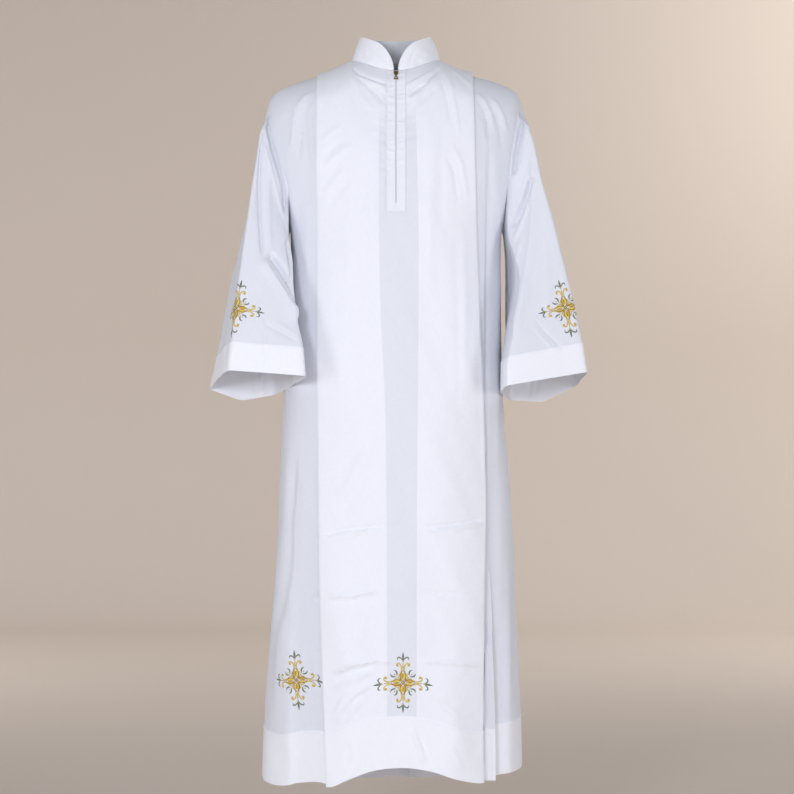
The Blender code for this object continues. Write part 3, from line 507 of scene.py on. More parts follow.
sleeveCreases = {
    right: {
        front: [
            (-11.0, (6.5, 4.6), 0.1, ((-256, -90), (-252, -133), (-241, -185), (-223, -249), (-215, -315))),
            (3.8, (3.0, 6.0), 0.2, ((-262, -122), (-266, -150), (-256, -187), (-239, -249), (-225, -307),
                                    (-213, -346))),
            (-8.0, (6.0, 4.2), 0.12, ((-258, -140), (-266, -191), (-268, -245), (-266, -307), (-262, -365),
                                      (-258, -404))),
            (2.2, 4.5, 0.25, ((-250, -191), (-250, -268), (-248, -346), (-241, -396))),
            (7.0, (3.6, 11.0), 0.12, ((-260, -398), (-239, -431), (-213, -472), (-182, -524))),
            (-14.0, (6.0, 6.0), 0.15, ((-250, -386), (-225, -420), (-204, -452), (-186, -486))),
            (-10.0, (4.5, 5.5), 0.2, ((-213, -355), (-207, -390), (-201, -424), (-196, -466))),
            (2.2, (7.0, 3.0), 0.25, ((-272, -191), (-283, -278), (-291, -356), (-301, -433), (-308, -501),
                                     (-320, -575))),
            (1.9, (2.6, 7.0), 0.2, ((-260, -509), (-250, -552), (-244, -625))),
            (-1.8, 3.0, 0.25, ((-256, -521), (-244, -534), (-215, -550), (-182, -569))),
            (1.5, 3.0, 0.25, ((-237, -521), (-211, -538), (-186, -554))),
        ],
        back: [
            (3.0, 5.0, 0.3, ((-282, -615), (-284, -640), (-283, -668))),
            (-3.4, 5.0, 0.3, ((-269, -612), (-270, -642), (-268, -672))),
            (2.0, 6.0, 0.25, ((-262, -110), (-258, -170), (-240, -240))),
            (2.4, 8.0, 0.25, ((-276, -300), (-262, -380), (-238, -450))),
            (-2.2, 8.0, 0.25, ((-262, -290), (-246, -370), (-228, -430))),
            (1.8, 9.0, 0.3, ((-310, -330), (-318, -430), (-322, -530))),
            (-1.6, 8.0, 0.3, ((-292, -400), (-296, -500), (-298, -580))),
        ],
    },
    left: {
        front: [
            (-11.0, (6.5, 4.6), 0.1, ((251, -90), (248, -117), (242, -156), (235, -191), (229, -237))),
            (3.2, (6.0, 3.4), 0.25, ((258, -105), (258, -142), (252, -191), (241, -245))),
            (-11.0, (6.0, 4.6), 0.15, ((266, -230), (254, -276), (241, -309), (225, -338))),
            (3.4, 3.2, 0.25, ((262, -272), (254, -309), (241, -342), (225, -371))),
            (3.5, (12.0, 3.6), 0.12, ((268, -191), (266, -249), (266, -298), (264, -342), (256, -395), (246, -453),
                                      (233, -511), (223, -556))),
            (2.4, 2.8, 0.25, ((246, -350), (235, -404), (225, -455))),
            (-1.6, 2.8, 0.25, ((266, -519), (295, -550), (332, -585))),
            (1.3, 2.8, 0.25, ((260, -530), (289, -561), (320, -592))),
            (1.2, 8.0, 0.3, ((291, -327), (295, -443), (295, -559))),
        ],
        back: [
            (3.0, 5.0, 0.3, ((282, -615), (284, -640), (283, -668))),
            (3.4, 5.0, 0.3, ((269, -612), (270, -642), (268, -672))),
            (1.9, 6.0, 0.25, ((258, -108), (254, -172), (238, -250))),
            (2.3, 8.0, 0.25, ((282, -280), (270, -370), (242, -460))),
            (-2.2, 8.0, 0.25, ((264, -300), (252, -390), (232, -450))),
            (1.8, 9.0, 0.3, ((306, -340), (312, -440), (316, -540))),
        ],
    },
}

# Soft unevenness everywhere: wavelength across and down in metres, with its share of the height
softWaves = ((0.17, 0.46, 0.9), (0.075, 0.20, 0.38), (0.036, 0.075, 0.16))


# Panels: a grid of points, columns across the cut and rows down it

panelGrid = {
    "armRows": (26, 50, 8),  # shoulder round, chest, underarm
    "skirtRows": {front: 166, back: 120},
    "hemRows": {front: 22, back: 16},
    "sideColumns": {front: 20, back: 13},
    "underColumns": {front: 5, back: 4},
    "turnSteps": 3,
    "boxColumns": {front: (38, 14, 16, 38), back: (24, 7, 7, 24)},
    "foldStep": 0.6 * mm,  # the box changes from three layers to one within twice this
    "slit": 0.7 * mm,
    "thickness": 0.5 * mm,
    "turnUp": 0.7 * mm,  # two more layers inside the hem
    "ridge": 0.8 * mm,
    "bandFades": -0.085,
    "bandFadesOver": 0.085,
    # less painted show-through shade where the box is lined
    "linedPlies": 2.4,
    "seamSinks": 2.4 * mm,  # along the armhole, from below the shoulder to the underarm
    "seamTop": -0.06,
    "seamFades": 0.03,
    "seamWidth": 7 * mm,
    "unevenness": {front: 1.4 * mm, back: 1.9 * mm},
    "seed": 5,
    "calmEdge": 14 * mm,  # creases fade out this near the side seams
    "calmNeck": 5 * mm,
}


def columnBlock(start, end, t, lift, plies, **turned):
    # neighbouring columns: the lines they lie between, their shares of the way, and how far out they lie
    return dict(turned, start=start, end=end, t=t, lift=lift, plies=plies)


def pleatBlocks(face, side):
    # from the side seam to the box's folded edge: side panel, under layer, turn, middle layer, turn
    layer = body["layer"]
    steps = panelGrid["turnSteps"]
    inside = np.arange(1, steps) / steps
    underT = np.linspace(0, 1, panelGrid["underColumns"][face])

    def edge(z):
        return readTable(pleatShape[face], sideName[side] + "Edge", z)

    def under(z):
        return readTable(pleatShape[face], sideName[side] + "Under", z)

    def seam(z):
        return panelEdge(side, z)

    def deep(z, t):
        return -(2 * layer + pleatOpen(face, z) * mix(1.0, 0.5, t))

    def sinking(z, t):
        return deep(z, 0.0) * smooth(t * body["sideSinks"])

    def innerTurn(z, t):
        return deep(z, 1.0) + layer / 2

    def middleLayer(z, t):
        return mix(-layer, deep(z, 1.0) + layer, t)

    def outerTurn(z, t):
        return -layer / 2 + 0 * z

    sideT = np.arange(panelGrid["sideColumns"][face]) / panelGrid["sideColumns"][face]
    one = np.ones_like(inside)
    return [
        columnBlock(seam, edge, sideT, sinking, 1.0),
        columnBlock(edge, under, underT, deep, 1.0),
        columnBlock(edge, under, one, innerTurn, 2.0, turn=math.pi * inside, swing=-1, toward=-side),
        columnBlock(edge, under, underT[::-1], middleLayer, 3.0),
        columnBlock(edge, edge, one, outerTurn, 3.0, turn=math.pi * (1 - inside), swing=1, toward=-side),
    ]


def turnedOver(block):
    return block | {key: block[key][::-1] for key in ("t", "turn") if key in block}


def boxBlocks(face):
    # the box panel from edge to edge: three layers over each pleat, one between them, parted at the slit
    counts = panelGrid["boxColumns"][face]
    step = panelGrid["foldStep"]
    shape = pleatShape[face]
    single = np.zeros(1)

    def line(name, moved=0.0):
        return lambda z: readTable(shape, name, z) + moved

    def slitEdge(side):
        return lambda z: np.zeros_like(z) + side * (panelGrid["slit"] if face == front else step)

    def shares(count, name):
        # even shares, one of them moved so that a column meets the neck's corner
        t = np.linspace(0, 1, count, endpoint=False)
        edgeX = abs(float(readTable(shape, name + "Edge", 0.0)))
        underX = abs(float(readTable(shape, name + "Under", 0.0)))
        corner = (edgeX - body["neckSide"]) / (edgeX - underX)
        t[int(np.argmin(np.abs(t - corner)))] = corner
        return t

    def flat(z, t):
        return 0 * z * t

    rightOver, leftOver = line("rightUnder", -step), line("leftUnder", step)
    return [
        columnBlock(line("rightEdge"), rightOver, shares(counts[0], "right"), flat, 3.0),
        columnBlock(rightOver, rightOver, single, flat, 3.0),
        columnBlock(line("rightUnder", step), slitEdge(right), np.linspace(0, 1, counts[1]), flat, 1.0),
        columnBlock(slitEdge(left), line("leftUnder", -step), np.linspace(0, 1, counts[2]), flat, 1.0),
        columnBlock(leftOver, leftOver, single, flat, 3.0),
        columnBlock(leftOver, line("leftEdge"), 1 - shares(counts[3], "left")[::-1], flat, 3.0),
    ]


def skirtSteps(face, count):
    # shares down the skirt, closer together where the cloth was folded for packing
    t = np.linspace(0, 1, 2001)
    z = mix(body["underarm"], body["hemLevel"] + body["hemDepth"], t)
    crowd = np.ones_like(t)
    for level, width, extra in crowdedLevels[face]:
        crowd += extra * np.exp(-(((z - level) / width) ** 2))
    gone = np.cumsum(crowd) - crowd[0]
    return np.interp(np.linspace(0, gone[-1], count + 1), gone, t)


crowdedLevels = {
    front: ((-0.926, 0.012, 2.2), (-1.052, 0.011, 1.6), (-1.195, 0.025, 1.2), (-1.26, 0.03, 0.9)),
    back: ((-0.70, 0.02, 0.8), (-1.02, 0.02, 0.8)),
}


def panelCloth(face):
    # the panel's middle surface as arrays of rows by columns, with what the later steps need of it
    rightPleat, box, leftPleat = pleatBlocks(face, right), boxBlocks(face), pleatBlocks(face, left)[::-1]
    blocks = rightPleat + box + [turnedOver(block) for block in leftPleat]
    starts = np.cumsum([0] + [len(block["t"]) for block in blocks])
    boxStart = len(rightPleat)
    boxEnd = boxStart + len(box)
    rounds, chests, lows = panelGrid["armRows"]
    skirt = skirtSteps(face, panelGrid["skirtRows"][face])
    hems = panelGrid["hemRows"][face]
    parts = []
    for block in blocks:
        t = block["t"]

        def xAt(z):
            return mix(block["start"](z), block["end"](z), t)

        z = np.zeros_like(t)
        for _ in range(tries):
            x = xAt(z)
            z = clothPoint(face, x, neckDown(face, x))[..., 2]
        top = z
        start = neckDown(face, xAt(top))
        heights = []
        downs = []
        for step in range(rounds):
            down = mix(start, 1.0, step / rounds)
            z = clothHeight(face, xAt(top), down)
            z = clothHeight(face, xAt(z), down) if step else z
            heights.append(z)
            downs.append(down)
        hang = clothHeight(face, xAt(top), 1.0)
        heights += [mix(hang, body["slitEnd"], step / chests) for step in range(chests)]
        heights += [mix(body["slitEnd"], body["underarm"], step / lows) + 0 * t for step in range(lows)]
        hem = readTable(hemShape[face], "height", xAt(np.full_like(t, body["hemLevel"])))
        band = hem + body["hemDepth"]
        heights += [mix(body["underarm"], band + body["hemLine"], share) for share in skirt]
        heights += [mix(band, hem, step / hems) for step in range(hems + 1)]
        heights = np.array(heights)
        x = xAt(heights)
        down = downAt(face, x, heights)
        down[:rounds] = np.array(downs)
        surface, out, along = clothDirections(face, x, down)
        turn = block.get("turn", np.zeros_like(t))
        facing = out * np.cos(turn)[:, None] - along * block.get("toward", 1) * np.sin(turn)[:, None]
        lift = block["lift"](heights, t) + np.zeros_like(x)
        middle = surface + out * lift[..., None] + block.get("swing", 0) * facing * body["layer"] / 2
        plies = np.full_like(x, block["plies"])
        parts.append((middle, out, surface[..., ::2], plies))
    middle, out, flat, plies = (np.concatenate(group, axis=1) for group in zip(*parts))
    bandRow = rounds + chests + lows + panelGrid["skirtRows"][face] + 1
    return {"face": face, "middle": middle, "out": out, "flat": flat, "plies": plies,
            "slitRow": rounds + chests, "underarmRow": rounds + chests + lows, "bandRow": bandRow,
            "sidePanel": (0, starts[1]), "box": (starts[boxStart], starts[boxEnd]),
            "slitColumn": starts[(boxStart + boxEnd) // 2]}


def hemmed(cloth, firstRow, size):
    # the wall's two halves; from a row down the cloth is turned up, so it is thicker, lets less shade through, and
    # gets no painted show-through shade in its colour
    rows = np.broadcast_to(np.arange(cloth["middle"].shape[0])[:, None], cloth["middle"].shape[:2])
    cloth["inside"] = np.full(rows.shape, size["thickness"] / 2)
    cloth["outside"] = cloth["inside"] + (rows >= firstRow) * size["turnUp"] + (rows == firstRow) * size["ridge"]
    cloth["plies"] = np.where(rows >= firstRow, whitestPlies, cloth["plies"])


def creasePanel(cloth):
    # moves every layer along the panel's outward direction, so the layers of a pleat stay apart
    face = cloth["face"]
    x, z = cloth["flat"][..., 0], cloth["flat"][..., 1]
    lift = creaseField(cloth["flat"], creases[face]) + neckPuckers(face, x, z)
    lift += unevenness(x, z, softWaves, panelGrid["seed"] + face, panelGrid["unevenness"][face])
    middle = cloth["middle"]
    across = lengthsAlong(middle, 1)
    fromSeam = np.minimum(across, across[:, -1:] - across)
    lift *= smooth(fromSeam / panelGrid["calmEdge"]) * smooth(lengthsAlong(middle) / panelGrid["calmNeck"])
    fades = panelGrid["seamFades"]
    beside = smooth((z - body["underarm"]) / fades) * smooth((panelGrid["seamTop"] - z) / fades)
    lift -= panelGrid["seamSinks"] * beside * np.exp(-((fromSeam / panelGrid["seamWidth"]) ** 2))
    cloth["middle"] = middle + cloth["out"] * lift[..., None]
    if face == front:
        # below the collar the box is lined, so the painted show-through shade of its single middle band only begins on
        # the chest
        box = slice(*cloth["box"])
        lined = smooth((panelGrid["bandFades"] - z) / panelGrid["bandFadesOver"])[:, box]
        cloth["plies"][:, box] = mix(panelGrid["linedPlies"], cloth["plies"][:, box], lined)
    hemmed(cloth, cloth["bandRow"], panelGrid)
    return settle(cloth)


# each pair: beside the neck, at the slit's end
puckers = {
    "count": 26,
    "crowding": 1.7,
    "height": (-0.062, -0.285),
    "length": (0.034, 0.014),
    "climb": (0.55, 0.1),
    "rise": (1.8, 0.9),  # mm
    "width": 0.0032,
    "facing": 0.0205,
    "under": 0.004,  # how far they reach under the facing's edge
    "grow": 0.006,
    "seed": 41,
}


def neckPuckers(face, x, z):
    # short pulls that the zip's stitching leaves at both edges of its facing, closer together near the neck
    field = np.zeros_like(x)
    if face == back:
        return field
    chance = random.Random(puckers["seed"])
    for side in (right, left):
        for k in range(puckers["count"]):
            share = ((k + chance.uniform(0.1, 0.9)) / puckers["count"]) ** puckers["crowding"]
            height = mix(*puckers["height"], share)
            length = mix(*puckers["length"], share) * chance.uniform(0.7, 1.2)
            climb = mix(*puckers["climb"], share) * chance.uniform(0.6, 1.3)
            rise = mix(*puckers["rise"], share) * chance.uniform(0.6, 1.1) * chance.choice((-1, 1, 1)) * mm
            fromEdge = side * x - puckers["facing"]
            off = z - height - climb * fromEdge
            ends = smooth((fromEdge + puckers["under"]) / puckers["grow"])
            field += rise * np.exp(-((off / puckers["width"]) ** 2)) * ends * np.exp(
                -((np.maximum(fromEdge, 0.0) / length) ** 2))
    return field


def gridNormals(points, ring=False):
    # a ring's last column is the neighbour of its first
    if ring:
        along = np.roll(points, -1, axis=1) - np.roll(points, 1, axis=1)
    else:
        along = np.gradient(points, axis=1)
    return unit(np.cross(along, np.gradient(points, axis=0)))


def settle(cloth, ring=False):
    # the direction in which the cloth's outer side faces, and whether the grid runs the other way round
    normal = gridNormals(cloth["middle"], ring)
    cloth["ring"] = ring
    cloth["turned"] = bool(np.sum(normal * cloth["out"]) < 0)
    cloth["normal"] = -normal if cloth["turned"] else normal
    return cloth


def onCloth(cloth, rows, columns):
    # points on the outer side of a cloth, between its grid points, and the directions they face
    grid = cloth["middle"] + cloth["normal"] * cloth["outside"][..., None]
    rows = np.clip(rows, 0, grid.shape[0] - lastCell)
    i = rows.astype(int)
    j = np.floor(columns).astype(int)
    wide = grid.shape[1]
    nextJ = (j + 1) % wide if cloth["ring"] else np.minimum(j + 1, wide - 1)
    j = j % wide if cloth["ring"] else np.clip(j, 0, wide - 1)
    down = (rows - i)[..., None]
    over = (columns - np.floor(columns))[..., None]

    def read(values):
        return mix(mix(values[i, j], values[i, nextJ], over), mix(values[i + 1, j], values[i + 1, nextJ], over), down)

    return read(grid), unit(read(cloth["normal"]))


def clothShell(name, cloth, finish, missing=()):
    # a thin closed shell round a grid of middle points
    points = cloth["middle"]
    rows, columns = points.shape[:2]
    ring = cloth["ring"]
    outer = points + cloth["normal"] * cloth["outside"][..., None]
    inner = points - cloth["normal"] * cloth["inside"][..., None]
    across = columns if ring else columns - 1
    has = np.ones((rows - 1, across), dtype=bool)
    for row, column in missing:
        has[row, column] = False
    index = np.arange(rows * columns).reshape(rows, columns)
    nextIndex = np.roll(index, -1, axis=1)
    a = index[:-1, :across]
    b = nextIndex[:-1, :across]
    c = nextIndex[1:, :across]
    d = index[1:, :across]
    layer = rows * columns
    order = (a, d, c, b) if cloth["turned"] else (a, b, c, d)
    outside = np.stack([corner[has] for corner in order], axis=1)
    faces = [outside, outside[:, ::-1] + layer]
    # rims wherever a cell has no neighbour
    padded = np.zeros((rows + 1, across + 2), dtype=bool)
    padded[1:-1, 1:-1] = has
    if ring:
        padded[1:-1, 0] = has[:, -1]
        padded[1:-1, -1] = has[:, 0]
    for start, end, neighbour in (
        (a, d, padded[1:-1, :-2]),
        (d, c, padded[2:, 1:-1]),
        (c, b, padded[1:-1, 2:]),
        (b, a, padded[:-2, 1:-1]),
    ):
        rim = has & ~neighbour
        if not rim.any():
            continue
        s, e = start[rim], end[rim]
        loop = np.stack((s, s + layer, e + layer, e), axis=1)
        faces.append(loop if cloth["turned"] else loop[:, ::-1])
    faces = np.concatenate(faces)
    vertices = np.concatenate([outer.reshape(-1, 3), inner.reshape(-1, 3)])
    used, faces = np.unique(faces, return_inverse=True)
    faces = faces.reshape(-1, 4)
    uv = np.stack((lengthsAlong(points, 1), lengthsAlong(points, 0)), axis=-1)
    if not ring:
        uv[..., 0] -= uv[:, [columns // 2], 0]
    uv = np.concatenate([uv.reshape(-1, 2)] * 2)[used]
    plies = np.broadcast_to(cloth["plies"], (rows, columns)).reshape(-1)
    plies = np.concatenate([plies, plies])[used]
    return meshPiece(name, vertices[used], faces, finish, uv, plies)


def meshPiece(name, vertices, faces, finish, uv=None, plies=None, smoothAngle=50):
    # faces: one array, or a list of arrays whose faces have different numbers of corners
    groups = faces if isinstance(faces, list) else [faces]
    corners = np.concatenate([group.ravel() for group in groups])
    sizes = np.concatenate([np.full(len(group), group.shape[1]) for group in groups])
    mesh = bpy.data.meshes.new(name)
    mesh.vertices.add(len(vertices))
    mesh.vertices.foreach_set("co", vertices.astype(np.float32).ravel())
    mesh.loops.add(len(corners))
    mesh.loops.foreach_set("vertex_index", corners.astype(np.int32))
    mesh.polygons.add(len(sizes))
    mesh.polygons.foreach_set("loop_start", (np.cumsum(sizes) - sizes).astype(np.int32))
    mesh.update(calc_edges=True)
    if mesh.validate():
        print("mesh mended:", name)
    if uv is not None:
        layer = mesh.uv_layers.new(name="cloth")
        layer.data.foreach_set("uv", uv[corners].astype(np.float32).ravel())
    if plies is not None:
        mesh.attributes.new("plies", "FLOAT", "POINT").data.foreach_set("value", plies.astype(np.float32))
    mesh.shade_smooth()
    mesh.set_sharp_from_angle(angle=math.radians(smoothAngle))
    mesh.materials.append(finish)
    piece = bpy.data.objects.new(name, mesh)
    bpy.context.scene.collection.objects.link(piece)
    return piece


def closedShape(loops, poles=None):
    # a skin round a row of loops of points, closed by a point or a flat face at each end
    sides = len(loops[0])
    count = len(loops)
    points = np.concatenate(loops)
    quads = [(level * sides + k, level * sides + (k + 1) % sides, (level + 1) * sides + (k + 1) % sides,
              (level + 1) * sides + k) for level in range(count - 1) for k in range(sides)]
    last = (count - 1) * sides
    if poles is None:
        ends = [tuple(range(sides))[::-1], tuple(range(last, last + sides))]
    else:
        points = np.concatenate([points, poles])
        low, high = count * sides, count * sides + 1
        ends = [((k + 1) % sides, k, low) for k in range(sides)]
        ends += [(last + k, last + (k + 1) % sides, high) for k in range(sides)]
    faces = [np.array(quads), np.array(ends)]
    volume = sum(np.sum(points[f[:, 0]] * np.cross(points[f[:, k]], points[f[:, k + 1]]))
                 for f in faces for k in range(1, f.shape[1] - 1))
    return points, faces if volume > 0 else [f[:, ::-1] for f in faces]


def copies(shape, places, over, along, out):
    # one small shape set at many places, each with its own three directions
    points, faces = shape
    vertices = places[:, None] + sum(
        way[:, None] * points[None, :, [axis]] for axis, way in enumerate((over, along, out)))
    step = (np.arange(len(places)) * len(points))[:, None, None]
    return vertices.reshape(-1, 3), [(f[None] + step).reshape(-1, f.shape[1]) for f in faces]


def joined(parts):
    # several (vertices, faces) as one; their lists of faces have the same sizes in the same order
    gone = np.cumsum([0] + [len(vertices) for vertices, _ in parts])
    faces = [np.concatenate([faces[i] + start for (_, faces), start in zip(parts, gone)])
             for i in range(len(parts[0][1]))]
    return np.concatenate([vertices for vertices, _ in parts]), faces


# Sleeves: rings round four soft corners, in metres

sleeveNames = (
    "step", "outerZ", "innerZ", "tilt", "frontOuterX", "frontInnerX", "backInnerX", "backOuterX",
    "frontOuterY", "frontInnerY", "backY", "sag", "hug",
)

sleeveShape = {
    right: sizeTable(
        sleeveNames,
        (1, -0.150, -0.352, 0.000, 0.2690, 0.2130, 0.2175, 0.2730, -0.078, -0.080, 0.082, 0.000, 0.000),
        (2, -0.235, -0.382, 0.000, 0.2780, 0.2060, 0.2225, 0.2870, -0.098, -0.104, 0.082, 0.000, 0.000),
        (3, -0.325, -0.427, 0.003, 0.2900, 0.2020, 0.2280, 0.3080, -0.122, -0.130, 0.075, 0.000, 0.000),
        (4, -0.420, -0.484, 0.007, 0.3010, 0.1970, 0.2340, 0.3300, -0.146, -0.156, 0.060, 0.002, 0.002),
        (5, -0.515, -0.544, 0.012, 0.3120, 0.1870, 0.2400, 0.3500, -0.170, -0.182, 0.040, 0.006, 0.004),
        (6, -0.579, -0.591, 0.015, 0.3190, 0.1780, 0.2430, 0.3630, -0.186, -0.200, 0.025, 0.012, 0.006),
        (7, -0.636, -0.648, 0.018, 0.3240, 0.1725, 0.2450, 0.3755, -0.196, -0.210, 0.015, 0.018, 0.006),
    ),
    left: sizeTable(
        sleeveNames,
        (1, -0.146, -0.352, 0.000, 0.2680, 0.2155, 0.2175, 0.2710, -0.076, -0.080, 0.082, 0.000, 0.000),
        (2, -0.230, -0.382, 0.000, 0.2840, 0.2270, 0.2185, 0.2820, -0.094, -0.104, 0.082, 0.000, 0.000),
        (3, -0.320, -0.427, 0.003, 0.3060, 0.2400, 0.2185, 0.2990, -0.112, -0.130, 0.072, 0.000, 0.001),
        (4, -0.412, -0.484, 0.005, 0.3280, 0.2380, 0.2200, 0.3180, -0.128, -0.155, 0.055, 0.002, 0.003),
        (5, -0.508, -0.550, 0.008, 0.3500, 0.2260, 0.2220, 0.3380, -0.140, -0.176, 0.035, 0.006, 0.008),
        (6, -0.576, -0.604, 0.011, 0.3645, 0.2150, 0.2260, 0.3500, -0.147, -0.190, 0.022, 0.012, 0.013),
        (7, -0.635, -0.662, 0.014, 0.3735, 0.2120, 0.2290, 0.3590, -0.152, -0.200, 0.012, 0.018, 0.015),
    ),
}

sleeve = {
    "start": 0.4 * mm,  # gap between the armhole's edge and the sleeve's first ring
    "tuck": 1.2 * mm,  # how far that ring lies under the panel
    "leaves": np.array((1.2, 0.0, -0.2)),
    "panelShare": 0.6,
    "capStep": 1.5,
    "cuffStep": 6.0,
    "cuffGap": 0.05,
    "lastStep": 7.0,
    "rows": 112,
    "cuffRows": 14,
    "backSwell": 4.0 * mm,
    "softening": 7,
    "softeningPoints": 192,
    "thickness": 0.5 * mm,
    "turnUp": 0.7 * mm,
    "ridge": 0.4 * mm,
    "unevenness": 1.5 * mm,
    "wavesLean": 0.6,
    "seed": 9,
    "calmEdge": 5 * mm,
}


def sleeveRings(side, steps, count):
    steps = np.asarray(steps, dtype=float)
    size = {name: readTable(sleeveShape[side], name, steps) for name in sleeveNames}

    def corner(x, y, z):
        return np.stack((side * x + 0 * z, y + 0 * z, z), axis=-1)

    frontInner = corner(size["frontInnerX"], size["frontInnerY"], size["innerZ"] + size["tilt"])
    frontOuter = corner(size["frontOuterX"], size["frontOuterY"], size["outerZ"] + size["tilt"])
    backOuter = corner(size["backOuterX"], size["backY"], size["outerZ"] - size["tilt"])
    backInner = corner(size["backInnerX"], size["backY"], size["innerZ"] - size["tilt"])
    start = (backInner + frontInner) / 2 - corner(size["hug"], 0.0, 0.0 * steps)
    backMiddle = (backOuter + backInner) / 2 + corner(0.0, sleeve["backSwell"], -size["sag"])
    path = np.stack((start, frontInner, frontOuter, backOuter, backMiddle, backInner, start), axis=1)
    lengths = lengthsAlong(path, 1)
    fine = 4 * count
    places = np.arange(fine) / fine
    ring = np.array([
        [np.interp(places * run[-1], run, row[:, axis]) for axis in range(3)]
        for row, run in zip(path, lengths)
    ]).transpose(0, 2, 1)
    # the same rounding of the corners as passes of neighbour averaging give
    waves = np.arange(fine // 2 + 1)
    half = sleeve["softeningPoints"] / 2
    kept = np.where(waves < half, np.cos(math.pi * np.minimum(waves, half) / (2 * half)), 0.0)
    spectrum = np.fft.rfft(ring, axis=1) * (kept ** (2 * sleeve["softening"]))[None, :, None]
    return np.fft.irfft(spectrum, n=fine, axis=1)[:, ::4]


def sleeveCloth(side, frontCloth, backCloth):
    j = 0 if side == right else -1
    inward = 1 if side == right else -2
    under = frontCloth["underarmRow"]
    rim = []
    for cloth, rows in ((frontCloth, range(under, -1, -1)), (backCloth, range(1, under))):
        rows = list(rows)
        edge = cloth["middle"][rows, j]
        away = unit(edge - cloth["middle"][rows, inward])
        away = unit(away * sleeve["panelShare"] + sleeve["leaves"] * (side, 1, 1))
        rim.append(edge + away * sleeve["start"] - cloth["out"][rows, j] * sleeve["tuck"])
    rim = np.concatenate(rim)
    # a point half way between each two of the armhole's, so that the creases come out sharp
    rim = np.stack((rim, (rim + np.roll(rim, -1, axis=0)) / 2), axis=1).reshape(-1, 3)
    count = len(rim)
    steps = np.concatenate([
        np.linspace(0.0, sleeve["cuffStep"] - sleeve["cuffGap"], sleeve["rows"]),
        np.linspace(sleeve["cuffStep"], sleeve["lastStep"], sleeve["cuffRows"] + 1),
    ])
    rings = sleeveRings(side, np.maximum(steps, 1.0), count)
    first, goal, second = sleeveRings(side, (1.0, sleeve["capStep"], 2.0), count)
    cap = np.nonzero(steps < sleeve["capStep"])[0]
    t = (steps[cap] / sleeve["capStep"])[:, None, None]
    rings[cap] = curved(rim, goal, (first - rim) * sleeve["capStep"], (second - first) * sleeve["capStep"], t)
    return creaseSleeve({"side": side, "middle": rings, "out": -gridNormals(rings, ring=True) * side, "plies": 1.0})


def creaseSleeve(cloth):
    side = cloth["side"]
    middle = cloth["middle"]
    out = cloth["out"]
    flat = middle[..., ::2]
    lift = np.zeros(middle.shape[:2])
    for face in (front, back):
        facesThere = smooth(face * out[..., 1] * 3 + 0.1)
        lift += creaseField(flat, sleeveCreases[side][face]) * facesThere
    across = middle[..., 1] - sleeve["wavesLean"] * flat[..., 0]
    lift += unevenness(across, flat[..., 1], softWaves, sleeve["seed"] + side, sleeve["unevenness"])
    lift *= smooth(lengthsAlong(middle) / sleeve["calmEdge"])
    cloth["middle"] = middle + out * lift[..., None]
    hemmed(cloth, sleeve["rows"], sleeve)
    return settle(cloth, ring=True)


# Collar: a standing band round the neckline, open at the front with rounded ends

collar = {
    "frontHeight": 0.050,
    "sideHeight": 0.046,
    "backHeight": 0.043,
    "topSide": 0.071,
    "topFront": 0.083,
    "topBack": 0.052,
    "corner": 0.045,  # length over which each front end rises
    "lowest": 0.10,
    "mouth": 4.8 * mm,
    "columns": 300,
    "rows": 22,
    "crowding": 0.06,  # columns lie closer together at both front ends
    "aboveSeam": 0.5 * mm,
    "thickness": 1.5 * mm,
    "bow": 1.2 * mm,
    "unevenness": 0.35 * mm,
    "waves": ((0.06, 0.05, 1.0),),
    "seed": 3,
}


def collarCloth():
    neck = body["neckSide"]
    mouth = math.asin(collar["mouth"] / neck)
    share = np.linspace(0, 1, collar["columns"])
    share = share - collar["crowding"] * np.sin(2 * math.pi * share) / math.pi
    angles = mix(mouth, 2 * math.pi - mouth, share)
    x = neck * np.sin(angles)
    cosine = np.cos(angles)
    atFront = cosine > 0
    base = np.where(
        atFront[:, None],
        clothPoint(front, x, neckDown(front, x)),
        clothPoint(back, x, neckDown(back, x)),
    )
    height = mix(collar["sideHeight"], np.where(atFront, collar["frontHeight"], collar["backHeight"]), np.abs(cosine))
    reach = np.where(atFront, collar["topFront"], collar["topBack"])
    top = np.stack((collar["topSide"] * np.sin(angles), -reach * cosine, base[:, 2] + height), axis=1)
    gone = neck * np.maximum(np.minimum(angles, 2 * math.pi - angles) - mouth, 0.0)
    full = np.sqrt(1 - (1 - np.minimum(gone / collar["corner"], 1.0)) ** 2)
    full = np.maximum(full, collar["lowest"])
    base = base + unit(top - base) * collar["aboveSeam"]
    levels = np.linspace(0, 1, collar["rows"])[:, None, None]
    middle = mix(base[None], top[None], levels * full[None, :, None])
    out = unit(np.cross(np.gradient(middle, axis=1), np.gradient(middle, axis=0)))
    lift = collar["bow"] * np.sin(levels[..., 0] * math.pi) + 0 * middle[..., 0]
    flat = np.stack((middle[..., 0], middle[..., 2]), axis=-1)
    lift += creaseField(flat, collarCreases) * smooth(-out[..., 1] * 3)
    lift += unevenness(share / 2, middle[..., 2], collar["waves"], collar["seed"], collar["unevenness"])
    half = collar["thickness"] / 2 + 0 * lift
    return settle({"middle": middle + out * lift[..., None], "out": out, "outside": half, "inside": half,
                   "plies": whitestPlies})


collarCreases = (
    (1.4, 2.6, 0.3, ((-62, 18), (-56, -2), (-46, -14))),
    (-1.1, 2.6, 0.3, ((-70, 14), (-64, -4), (-56, -14))),
    (1.3, 2.4, 0.3, ((-40, 6), (-26, -12), (-14, -26))),
    (1.4, 2.6, 0.3, ((64, 16), (56, -2), (44, -14))),
    (-1.1, 2.6, 0.3, ((36, 14), (30, -4), (20, -22))),
)


# Zip: facing, tapes and teeth follow the slit in the front panel; the slider and pull keep their solids' places

